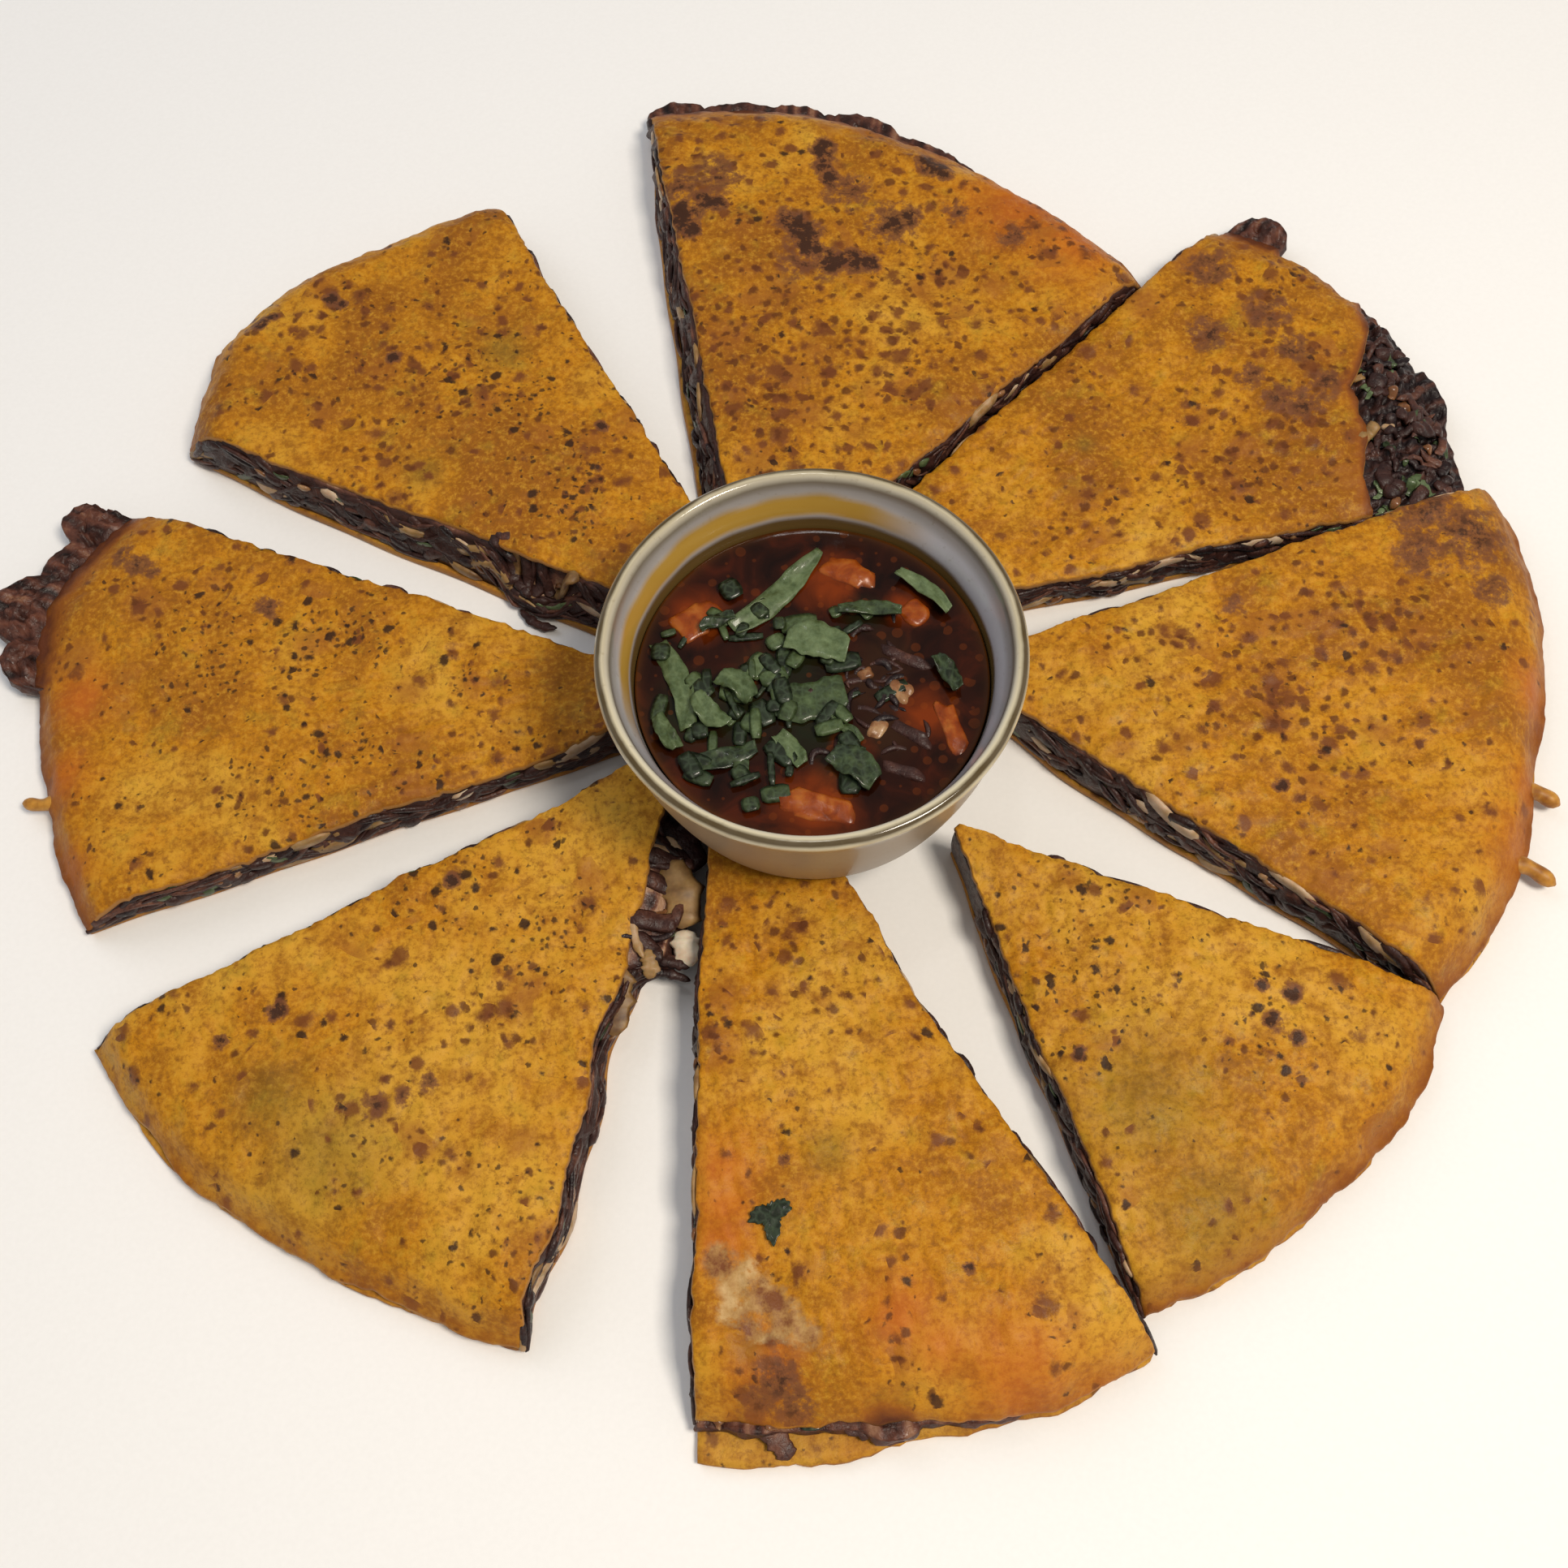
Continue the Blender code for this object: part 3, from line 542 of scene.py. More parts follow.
def fried_tortilla(settings):
    """Flour tortilla dipped in red chile fat and fried on a griddle. The fat leaves a golden
    orange, slightly glossy face with a fine grain. Where the dough rose against the iron it
    has round reddish brown blisters, dark char and black specks, and the cut edge shows pale
    dough."""
    made, node, shader, place = new_finish("chile_fried_tortilla", IOR=1.45,
                                           Specular_IOR_Level=0.25)
    marks, tints, parts = (node("SeparateColor", (node("Attribute", attribute_name=name),))
                           for name in ("marks", "tints", "parts"))
    # Patches about 30 mm and 8 mm wide, bright veins, and a grain of about 1 mm
    broad = node("TexNoise", {"Vector": place, "Scale": 34.0, "Detail": 4.0})
    middle = node("TexNoise", {"Vector": place, "Scale": 130.0, "Detail": 5.0, "Roughness": 0.65})
    lace = node("TexNoise", {"Vector": place, "Scale": 330.0, "Detail": 5.0, "Roughness": 0.7})
    grain = node("TexNoise", {"Vector": place, "Scale": 700.0, "Detail": 4.0, "Roughness": 0.7})
    veins = node("TexNoise", {"Vector": place, "Scale": 75.0, "Detail": 6.0, "Distortion": 0.8},
                 noise_type="RIDGED_MULTIFRACTAL")
    swayed = node("VectorMath", (middle.outputs[1], (0.005, 0.005, 0.0), place),
                  operation="MULTIPLY_ADD")
    tone = node("Math", (parts.outputs[0], 1.05), operation="SUBTRACT")
    toned = node("Math", (broad, 2.2, tone), operation="MULTIPLY_ADD")
    base = node("ValToRGB", (toned,),
                stops=((0.2, settings.deep), (0.5, settings.golden),
                       (0.85, settings.pale))).outputs[0]
    mottle = node("MapRange", (middle, 0.46, 0.68, 0.0, 0.75), interpolation_type="SMOOTHSTEP")
    olive = node("MapRange", (middle, 0.46, 0.3, 0.0, 0.6))
    vein = node("MapRange", (veins, 0.55, 1.5, 0.0, 0.6), interpolation_type="SMOOTHSTEP")
    light = node("MapRange", (grain, 0.5, 0.7, 0.0, 0.65))
    dark = node("MapRange", (grain, 0.5, 0.32, 0.0, 0.65))
    laced = node("MapRange", (lace, 0.52, 0.68, 0.0, 0.6))
    layers = [(mottle, settings.deep), (olive, "#9C7A1C"), (vein, "#DE9F1C"),
              (laced, "#8C5410"), (light, settings.pale), (dark, "#7A4A10"),
              (tints.outputs[1], "#BA5E18"), (tints.outputs[2], "#5C5A20")]
    # Spots: cells about 13, 7, 3 and 2 mm wide, some of which hold a mark. Each mark is round
    # and soft, with an outline made uneven by the noise, and wider where marks are dense
    masks = []
    for scale, density, small, large, soft, most, colour in (
            (75.0, marks.outputs[0], 0.20, 0.68, 0.45, 0.60, "#94581C"),
            (100.0, marks.outputs[0], 0.04, 0.40, 0.22, 0.85, settings.blister),
            (170.0, marks.outputs[0], 0.08, 0.46, 0.24, 0.88, settings.blister),
            (270.0, marks.outputs[0], 0.06, 0.46, 0.24, 0.85, "#5A2E0E"),
            (220.0, marks.outputs[2], 0.06, 0.46, 0.18, 0.92, settings.char),
            (500.0, marks.outputs[2], 0.10, 0.46, 0.22, 0.80, settings.char)):
        cells = node("TexVoronoi", {"Vector": swayed, "Scale": scale}, voronoi_dimensions="2D")
        chance = node("SeparateColor", (cells.outputs["Color"],))
        held = node("Math", (chance, density), operation="LESS_THAN")
        wide = node("Math", (density, 0.35, chance.outputs[1]), operation="MULTIPLY_ADD")
        radius = node("MapRange", (wide, 0.0, 1.35, small, large))
        inner = node("Math", (radius, soft), operation="SUBTRACT")
        uneven = node("Math", (lace, 0.6, -0.3), operation="MULTIPLY_ADD")
        uneven = node("Math", (cells, uneven), operation="ADD")
        mark = node("MapRange", (uneven, inner, radius, most, 0.0),
                    interpolation_type="SMOOTHSTEP")
        mask = node("Math", (mark, held), operation="MULTIPLY")
        masks.append(mask)
        layers.append((mask, colour))
    # Char: the marks' bells broken up by the noise, first purple brown, then black brown
    holes = node("MapRange", (lace, 0.36, 0.6, 0.5, 1.5))
    burnt = node("Math", (holes, marks.outputs[1]), operation="MULTIPLY")
    for low, high, most, colour in ((0.22, 0.5, 0.85, "#6E4228"),
                                    (0.5, 0.85, 0.95, "#3A2114")):
        mask = node("MapRange", (burnt, low, high, 0.0, most), interpolation_type="SMOOTHSTEP")
        layers.append((mask, colour))
    # The round edge browns unevenly, and through a tear the wet filling shows
    rim = node("Math", (middle, 0.5), operation="ADD")
    rim = node("Math", (tints.outputs[0], rim), operation="MULTIPLY")
    brown = node("MapRange", (rim, 0.12, 0.6, 0.0, 0.85))
    crisp = node("MapRange", (rim, 0.5, 1.0, 0.0, 0.95))
    wet = node("ValToRGB", (middle,),
               stops=((0.38, "#744428"), (0.46, "#9A7040"),
                      (0.54, "#B08A54"), (0.66, "#C8A672"))).outputs[0]
    torn = node("Math", (holes, parts.outputs[2]), operation="MULTIPLY")
    torn = node("MapRange", (torn, 0.22, 0.7, 0.0, 0.95))
    layers += [(brown, "#8E4E16"), (crisp, "#5A2E1A"),
               (parts.outputs[1], settings.dough), (torn, wet)]
    gloss = node("MapRange", (middle, 0.35, 0.7, 0.42, 0.7))
    raised_marks = node("Math", (masks[1], 0.6, grain), operation="MULTIPLY_ADD")
    relief = node("Math", (middle, 0.8, raised_marks), operation="MULTIPLY_ADD")
    dress(node, shader, layered(node, base, layers), relief, 0.4, 0.6 * MM, gloss)
    return made


def shredded_beef(settings):
    """Beef braised in chile and pulled apart. The long fibres stay moist and dark, some nearly
    black, some reddish or tan, and the fat on them gives small highlights."""
    made, node, shader, place = new_finish("braised_shredded_beef", IOR=1.42,
                                           Specular_IOR_Level=0.45)
    shade = node("Attribute", attribute_name="shade").outputs["Fac"]
    # Clumps of about 4 mm, fibres under 1 mm
    clump = node("TexNoise", {"Vector": place, "Scale": 240.0, "Detail": 4.0})
    fibre = node("TexNoise", {"Vector": place, "Scale": 1100.0, "Detail": 3.0, "Distortion": 0.6})
    mixed = node("Math", (clump, 0.7, shade), operation="MULTIPLY_ADD")
    mixed = node("Math", (fibre, 0.25, mixed), operation="MULTIPLY_ADD")
    base = node("ValToRGB", (mixed,),
                stops=((0.35, "#1C1011"), (0.65, settings.beef),
                       (0.85, "#6B4434"), (1.0, "#A27E62"))).outputs[0]
    crisp = node("Attribute", attribute_name="crisp").outputs["Fac"]
    fried = node("ValToRGB", (mixed,),
                 stops=((0.3, "#180B07"), (0.52, "#3A1E16"),
                        (0.75, "#62392A"), (0.98, "#8A6248"))).outputs[0]
    gloss = node("MapRange", (fibre, 0.3, 0.7, 0.28, 0.6))
    dress(node, shader, layered(node, base, [(crisp, fried)]), fibre, 0.6, 0.5 * MM, gloss)
    return made


def melted_cheese(settings):
    """Melted white cheese: soft, slightly see-through at thin places, wet with orange fat,
    and browned where it touched the griddle."""
    made, node, shader, place = new_finish("melted_cheese", IOR=1.44, Roughness=0.48,
                                           Specular_IOR_Level=0.5, Subsurface_Weight=0.15,
                                           Subsurface_Scale=0.002)
    shade = node("Attribute", attribute_name="shade").outputs["Fac"]
    cloud = node("TexNoise", {"Vector": place, "Scale": 300.0, "Detail": 4.0})
    mixed = node("Math", (cloud, 0.6, shade), operation="MULTIPLY_ADD")
    base = node("ValToRGB", (mixed,),
                stops=((0.3, "#5A3C20"), (0.55, "#987748"),
                       (0.75, settings.cheese), (0.98, "#D8CBB4"))).outputs[0]
    crisp = node("Attribute", attribute_name="crisp").outputs["Fac"]
    amber = node("ValToRGB", (cloud,), stops=((0.35, "#8A5412"), (0.65, "#C48C34"))).outputs[0]
    dress(node, shader, layered(node, base, [(crisp, amber)]), cloud, 0.3, 0.6 * MM)
    return made


def fresh_herb(settings):
    """Cilantro leaf cut with a knife: thin, dark green, duller and paler along the veins and
    where the cut bruised it, wet from the broth."""
    made, node, shader, place = new_finish("cut_cilantro", IOR=1.4, Roughness=0.45,
                                           Specular_IOR_Level=0.4, Coat_Weight=0.3,
                                           Coat_Roughness=0.12)
    shade = node("Attribute", attribute_name="shade").outputs["Fac"]
    cloud = node("TexNoise", {"Vector": place, "Scale": 330.0, "Detail": 5.0, "Roughness": 0.7})
    veins = node("TexVoronoi", {"Vector": place, "Scale": 520.0}, feature="DISTANCE_TO_EDGE")
    vein = node("MapRange", (veins, 0.0, 0.2, 0.12, 0.0))
    mixed = node("Math", (cloud, 0.7, shade), operation="MULTIPLY_ADD")
    base = node("ValToRGB", (mixed,),
                stops=((0.32, "#161E0E"), (0.55, settings.herb),
                       (0.75, "#64734E"), (0.95, "#8E9A78"))).outputs[0]
    colour = layered(node, base, [(vein, "#728A6A")])
    relief = node("Math", (veins, 1.0, cloud), operation="MULTIPLY_ADD")
    dress(node, shader, colour, relief, 0.35, 0.4 * MM)
    return made


def cooked_vegetable(name, dark, middle, light, level=0.0):
    """Soft cooked vegetable, cut in dice: a wet, slightly see-through flesh with faint lines
    of its grain, stained by the broth up to a level."""
    made, node, shader, place = new_finish(name, IOR=1.4, Roughness=0.25, Specular_IOR_Level=0.5,
                                           Subsurface_Weight=0.12, Subsurface_Scale=0.003)
    flesh = node("TexNoise", {"Vector": place, "Scale": 260.0, "Detail": 5.0, "Distortion": 0.4})
    base = node("ValToRGB", (flesh,), stops=((0.3, dark), (0.5, middle), (0.72, light))).outputs[0]
    height = node("SeparateXYZ", (place,)).outputs[2]
    stain = node("MapRange", (height, level - 0.2 * MM, level + 0.4 * MM, 0.85, 0.0),
                 interpolation_type="SMOOTHSTEP")
    if level:
        base = layered(node, base, [(stain, "#4A1806")])
    dress(node, shader, base, flesh, 0.4, 0.5 * MM)
    return made


def glazed_stoneware(settings, lip):
    """Stoneware thrown thin, dipped in a white glaze and banded with iron oxide at the lip.
    The glaze is glassy and pools a little, the band breaks to tan on the edges, and fat from
    the broth stains the wall above it. The outer wall's taupe is painted shade and painted
    reflection of the slices on the white glaze, and painted shade greys a band inside the lip
    and the upper back of the inner wall."""
    made, node, shader, place = new_finish("white_glazed_stoneware", IOR=1.5, Roughness=0.12,
                                           Specular_IOR_Level=0.5, Coat_Weight=0.15,
                                           Coat_Roughness=0.1)
    glaze = node("SeparateColor", (node("Attribute", attribute_name="glaze"),))
    pool = node("TexNoise", {"Vector": place, "Scale": 90.0, "Detail": 3.0})
    fine = node("TexNoise", {"Vector": place, "Scale": 700.0, "Detail": 3.0})
    moved = node("Math", (pool, 0.005, glaze), operation="MULTIPLY_ADD")
    # The outer wall's colour is painted shade and painted reflection of the slices on the white
    # glaze
    outer, inner = settings.shaded_outer_glaze, settings.inner_glaze
    band, tan = settings.band, settings.edge_tan
    # Along the profile: outer wall, tan, the dark band at the lip, tan, a pale edge, then a grey
    # band of painted shade inside the lip before the inner glaze
    base = node("ValToRGB", (moved,),
                stops=((0.0, outer), (lip - 0.032, outer), (lip - 0.022, "#A0916C"),
                       (lip - 0.012, tan), (lip - 0.007, tan), (lip - 0.005, band),
                       (lip + 0.0015, band), (lip + 0.004, tan), (lip + 0.010, "#CFC9B8"),
                       (lip + 0.016, "#857F74"), (lip + 0.024, "#AFACAC"),
                       (lip + 0.040, inner))).outputs[0]
    cloudy = node("MapRange", (pool, 0.35, 0.7, 0.0, 0.22))
    speck = node("MapRange", (fine, 0.62, 0.75, 0.0, 0.25))
    # The third channel is the brown ring below the fat band, and painted shade on the upper back of
    # the inner wall
    colour = layered(node, base, [(cloudy, "#8D8679"), (speck, "#7A6A50"),
                                  (glaze.outputs[1], settings.fat),
                                  (glaze.outputs[2], "#5C4410")])
    gloss = node("MapRange", (glaze, lip - 0.04, lip - 0.01, 0.42, 0.12))
    dress(node, shader, colour, pool, 0.12, 1.0 * MM, gloss)
    return made


def consomme(settings):
    """Red chile consomme: a dark red brown, clouded broth with a glassy top. Orange fat floats
    on it in round eyes and gathers where the broth meets the cup."""
    made, node, shader, place = new_finish("red_chile_consomme", IOR=1.34, Roughness=0.12,
                                           Specular_IOR_Level=0.3, Coat_Weight=0.1,
                                           Coat_Roughness=0.05)
    rim = node("Attribute", attribute_name="rim").outputs["Fac"]
    cloud = node("TexNoise", {"Vector": place, "Scale": 110.0, "Detail": 5.0, "Distortion": 0.8})
    base = node("ValToRGB", (cloud,),
                stops=((0.3, settings.dark), (0.52, settings.red),
                       (0.74, "#481A08"))).outputs[0]
    # What glows through from below: carrot, leaf, and onion with beef
    below = node("SeparateColor", (node("Attribute", attribute_name="below"),))
    glows = []
    for part, code in ((1, "#181C0E"), (2, "#2E1A0C"), (0, "#742E08")):
        mask = node("Math", (below.outputs[part], cloud), operation="MULTIPLY")
        mask = node("MapRange", (mask, 0.1, 0.45, 0.0, 0.9))
        glows.append((mask, code))
    base = layered(node, base, glows)
    # Eyes of fat, about 3 mm and less
    eyes = node("TexVoronoi", {"Vector": place, "Scale": 300.0}, voronoi_dimensions="2D")
    chance = node("SeparateColor", (eyes.outputs["Color"],))
    few = node("Math", (chance, 0.4), operation="LESS_THAN")
    radius = node("MapRange", {0: chance.outputs[1], 3: 0.12, 4: 0.42})
    inner = node("Math", (radius, 0.06), operation="SUBTRACT")
    disc = node("MapRange", (eyes, inner, radius, 1.0, 0.0), interpolation_type="SMOOTHSTEP")
    eye = node("Math", (disc, few), operation="MULTIPLY")
    eye = node("Math", (eye, 0.12), operation="MULTIPLY")
    colour = layered(node, base, [(eye, "#9A4A12"), (rim, "#5A330F")])
    height = node("Math", (cloud, 1.5, eye), operation="MULTIPLY_ADD")
    dress(node, shader, colour, height, 0.12, 0.3 * MM)
    return made


def studio_paper(settings):
    """Matt background paper: an even pale face with a barely visible tooth."""
    made, node, shader, place = new_finish("background_paper", Roughness=0.9,
                                           Specular_IOR_Level=0.1)
    tooth = node("TexNoise", {"Vector": place, "Scale": 900.0, "Detail": 3.0})
    shade = node("MapRange", (tooth, 0.3, 0.7, 0.0, 0.06))
    colour = layered(node, settings.floor, [(shade, "#C8C6C2")])
    shader.id_data.links.new(colour, shader.inputs["Base Color"])
    return made


# Settings that a user would change


def colour_setting(label, code, words):
    return bpy.props.FloatVectorProperty(name=label, description=words, subtype="COLOR", size=3,
                                         min=0.0, max=1.0, default=linear(code)[:3])


def length_setting(label, value, words):
    return bpy.props.FloatProperty(name=label, description=words, default=value, min=0.0,
                                   unit="LENGTH", precision=4)


class BIRRIA_PG_tortilla(bpy.types.PropertyGroup):
    golden: colour_setting("Golden", "#BA7A0C", "Colour of most of the fried face")
    deep: colour_setting("Deep orange", "#92580C", "Colour of its darker patches")
    pale: colour_setting("Pale yellow", "#CC962C", "Colour of its lighter patches")
    blister: colour_setting("Blister", "#6A3818", "Colour of the browned blisters")
    char: colour_setting("Char", "#2E1A0E", "Colour of burnt spots and specks")
    dough: colour_setting("Dough", "#A5743C", "Colour of the cut edge")
    relief: length_setting("Relief", 0.22 * MM, "How uneven the fried face is")
    droop: length_setting("Droop", 0.9 * MM, "How far the face drops towards a cut")
    edge_round: length_setting("Edge round", 0.35 * MM, "How far a cut edge bulges")


class BIRRIA_PG_filling(bpy.types.PropertyGroup):
    beef: colour_setting("Beef", "#402620", "Colour of the braised beef")
    cheese: colour_setting("Cheese", "#BFA284", "Colour of the melted cheese")
    lump: length_setting("Lump", 0.8 * MM, "How lumpy a cut through the filling is")


class BIRRIA_PG_cup(bpy.types.PropertyGroup):
    # The outer wall's taupe is painted shade and painted reflection of the slices on a white glaze
    shaded_outer_glaze: colour_setting("Outer glaze", "#9C8C74", "Colour of the outer wall")
    inner_glaze: colour_setting("Inner glaze", "#C2C0C5", "Colour of the inner wall")
    band: colour_setting("Band", "#4A3A18", "Colour of the line along the lip")
    edge_tan: colour_setting("Edge", "#D0C6A8", "Colour of the glaze beside that line")
    fat: colour_setting("Fat", "#B08826", "Colour of the fat that stains the inner wall")


class BIRRIA_PG_broth(bpy.types.PropertyGroup):
    dark: colour_setting("Dark", "#160703", "Colour of the broth's depth")
    red: colour_setting("Red", "#280E05", "Colour of the clouds in it")
    herb: colour_setting("Herb", "#3F4D2A", "Colour of the cut cilantro")
    meniscus: length_setting("Meniscus", 0.7 * MM, "How far the broth climbs the wall")


class BIRRIA_PG_stage(bpy.types.PropertyGroup):
    floor: colour_setting("Floor", "#F2F1EF", "Colour of the studio's floor")
    lens: bpy.props.FloatProperty(name="Lens", description="Focal length in millimetres on a "
                                  "36 mm wide sensor", default=40.0, min=1.0)
    pitch: bpy.props.FloatProperty(name="Pitch", description="How far down the camera looks",
                                   default=math.radians(64.92), subtype="ANGLE")
    roll: bpy.props.FloatProperty(name="Roll", description="How far the camera leans",
                                  default=math.radians(-4.09), subtype="ANGLE")
    eye: bpy.props.FloatVectorProperty(name="Eye", description="The camera's place from the "
                                       "cup's axis", size=3, unit="LENGTH",
                                       default=(-0.007516, -0.177008, 0.368429))
    key: bpy.props.FloatProperty(name="Key light", description="Power of the large soft light",
                                 default=9.0, min=0.0, unit="POWER")
    sky: bpy.props.FloatProperty(name="Surroundings", description="Strength of the even light",
                                 default=0.34, min=0.0)


class BIRRIA_PG_all(bpy.types.PropertyGroup):
    tortilla: bpy.props.PointerProperty(type=BIRRIA_PG_tortilla)
    filling: bpy.props.PointerProperty(type=BIRRIA_PG_filling)
    cup: bpy.props.PointerProperty(type=BIRRIA_PG_cup)
    broth: bpy.props.PointerProperty(type=BIRRIA_PG_broth)
    stage: bpy.props.PointerProperty(type=BIRRIA_PG_stage)


# Shapes of the slices


def torn_edge(piece, number):
    """How far out the upper tortilla reaches at each place across. A torn edge is uneven."""
    def far(across):
        torn = across_values(piece.torn, across)
        line = ragged_line(across, number)
        rough = np.clip(0.5 * line, -1.2, 0.7) * MM
        wild = np.clip(torn / (10 * MM), 0, 1) * 0.2 * MM * line
        return across_values(piece.reach, across) - torn + rough + wild
    return far


def upper_surface(piece, number, length, across, settings, tears=()):
    """The fried face: the slice's plan and height, dropped a little towards each cut, with low
    waves and with domes where the dough rose."""
    place = plan(piece, length, across)
    nick = 0.14 * MM * bumps(place, 5 * MM, number + 60) + 0.08 * MM * bumps(place, 2 * MM, number)
    for side, way in enumerate(outward_ways(piece)):
        place = place + (np.abs(1 - side - across) ** 8 * nick)[..., None] * way
    height = upper_height(piece, length, across, place)
    gap = length * np.radians(piece.opening) * np.minimum(across, 1 - across)
    clear = clear_of_cup(place)
    height = height - settings.droop * clear * np.exp(-gap / CUT_WIDTH)
    relief = bumps(place, 11 * MM, number + 80) + 0.6 * bumps(place, 4 * MM, number + 100)
    random = np.random.default_rng(number)
    spots = random.uniform((0.15, 0.03), (0.97, 0.97), (DOMES, 2))
    reach = across_values(piece.reach, spots[:, 1])
    centres = plan(piece, spots[:, 0] * reach, spots[:, 1])
    radii, rises = (random.uniform(*some, DOMES) * MM for some in ((2.0, 5.5), (0.1, 0.45)))
    for centre, radius, rise in zip(centres, radii, rises):
        relief = relief + rise / settings.relief * ease(1 - off_axis(place - centre) / radius)
    height = height + settings.relief * relief * (0.35 + 0.65 * clear)
    return place, height - 0.7 * MM * ease(1.6 * patches(place, tears))


def face_fields(piece, browning, place, length, across):
    """Where the fried face is blistered, charred, specked, browned at the rim, oiled or green
    from a leaf below."""
    blister = browning.blister + 0.75 * patches(place, browning.blisters)
    pepper = 0.5 * browning.pepper + 0.6 * patches(place, browning.peppers)
    uneven = 0.16 * bumps(place, 22 * MM, int(piece.thick * 10))
    char = np.maximum(patches(place, browning.chars), 0.55 * patches(place, browning.scorches))
    marks = np.stack([np.clip(blister + uneven, 0, 1), char,
                      np.clip(pepper + 0.4 * uneven, 0, 1)], axis=-1)
    inward = inside_edge(piece, length, across) / MM
    out, _ = crag_rise(without_drips(piece), across)
    torn = across_values(piece.torn, across) / MM
    rim = browning.rim * np.exp(-np.maximum(inward, 0) / 5)
    rim = rim + np.clip(out / (4 * MM), 0, 1) * np.exp(-np.maximum(inward, 0) / 4)
    rim = rim + 0.9 * np.clip(torn / 4, 0, 1) * np.exp(-np.maximum(inward - torn, 0) / 2.5)
    tints = np.stack([rim, 0.66 * patches(place, browning.oils),
                      0.42 * patches(place, browning.herbs)], axis=-1)
    return marks, np.clip(tints, 0, 1)


class Operation(bpy.types.Operator):
    """What all the operators below share"""

    bl_options = {"REGISTER", "UNDO"}

    @classmethod
    def poll(cls, context):
        return context.scene is not None


class BIRRIA_OT_upper_tortillas(Operation):
    """Builds the upper tortilla of every slice, browned and blistered"""

    bl_idname = "birria.upper_tortillas"
    bl_label = "Upper tortillas"

    def execute(self, context):
        settings = context.scene.birria.tortilla
        finish = fried_tortilla(settings)
        for number, (piece, browning) in enumerate(zip(SLICES, BROWNING), 1):
            length, across = slice_grid(piece, torn_edge(piece, number), *UPPER_GRID)
            place, height = upper_surface(piece, number, length, across, settings, browning.tears)
            upper, lower = raised(place, height), raised(place, height - SKIN)
            rings = side_rings(lower, upper, 3, settings.edge_round)[0]
            points, faces = shell(lower, upper, rings)
            marks, tints = face_fields(piece, browning, place, length, across)
            count, loose = marks[..., 0].size, rings[..., 0].size
            dull = np.zeros((count + loose, 3))
            under = np.tile([browning.tone, 1.0, 0.0], (count, 1))
            edge = border(*length.shape)
            inward = inside_edge(piece, length, across).ravel()[edge]
            pale = np.tile(1 - 0.8 * ease(2 - inward / MM), len(rings))
            sides = np.stack([np.full(loose, browning.tone), pale, np.zeros(loose)], axis=-1)
            brown = np.tile(tints.reshape(-1, 3)[edge], (len(rings), 1))
            parts = np.tile([browning.tone, 0.0, 0.0], (count, 1))
            parts[:, 2] = patches(place, browning.tears).ravel()
            lay_piece(f"fried_top_{number}", points, faces, finish,
                      [f"slice_{number}_upper_tortilla"],
                      {"marks": np.concatenate([marks.reshape(-1, 3), dull]),
                       "tints": np.concatenate([tints.reshape(-1, 3), dull[:count], brown]),
                       "parts": np.concatenate([parts, under, sides])})
        return {"FINISHED"}


class BIRRIA_OT_lower_tortillas(Operation):
    """Builds the lower tortilla of every slice, which shows where the layers have slid apart"""

    bl_idname = "birria.lower_tortillas"
    bl_label = "Lower tortillas"

    def execute(self, context):
        settings = context.scene.birria.tortilla
        finish = bpy.data.materials["chile_fried_tortilla"]
        for number, piece in enumerate(SLICES, 1):
            def far(across):
                spill = across_values(piece.spill, across)
                rough = np.clip(0.6 * ragged_line(across, number + 5), -1.2, 0.6) * MM
                return across_values(piece.reach, across) + spill + rough

            length, across = slice_grid(piece, far, *LOWER_GRID)
            low = plan(piece, length, across, spread=1.0)
            high = plan(piece, length, across, spread=0.9)
            lower = raised(low, np.zeros_like(length))
            upper = raised(high, SKIN + 0.12 * MM * bumps(high, 6 * MM, number))
            rings = side_rings(lower, upper, 3, settings.edge_round)[0]
            points, faces = shell(lower, upper, rings)
            inward = inside_edge(piece, length, across).ravel()[border(*length.shape)]
            pale = np.tile(0.7 - 0.55 * ease(2 - inward / MM), len(rings))
            over, under = (np.tile(parts, (length.size, 1))
                           for parts in ([0.85, 0.2, 0.0], [0.4, 0.0, 0.0]))
            sides = np.stack([np.full_like(pale, 0.4), pale, np.zeros_like(pale)], axis=-1)
            fields = {"marks": np.tile([0.3, 0.0, 0.1], (len(points), 1)),
                      "tints": np.tile([0.0, 0.05, 0.0], (len(points), 1)),
                      "parts": np.concatenate([over, under, sides])}
            lay_piece(f"fried_bottom_{number}", points, faces, finish,
                      [f"slice_{number}_lower_tortilla"], fields)
        return {"FINISHED"}


def filling_face(piece, side, length, level):
    """Points of the cut through the filling: this far from the slice's point, and at a level
    from 0 on the lower tortilla to 1 under the upper one."""
    across = np.full_like(length, float(side))
    low = plan(piece, length, across, SPREAD_LOW, PUSHED_LOW)
    high = plan(piece, length, across, SPREAD_HIGH, PUSHED_HIGH)
    roof = upper_height(piece, length, across, high) - SKIN - 0.4 * MM
    if piece.tongue and side:
        start, end, _, height = piece.tongue
        bare = stretch(length, start, end, 5)
        roof = roof + (np.minimum(roof, height * MM) - roof) * bare
    place = low + (high - low) * level[..., None]
    return raised(place, SKIN + (roof - SKIN) * level)


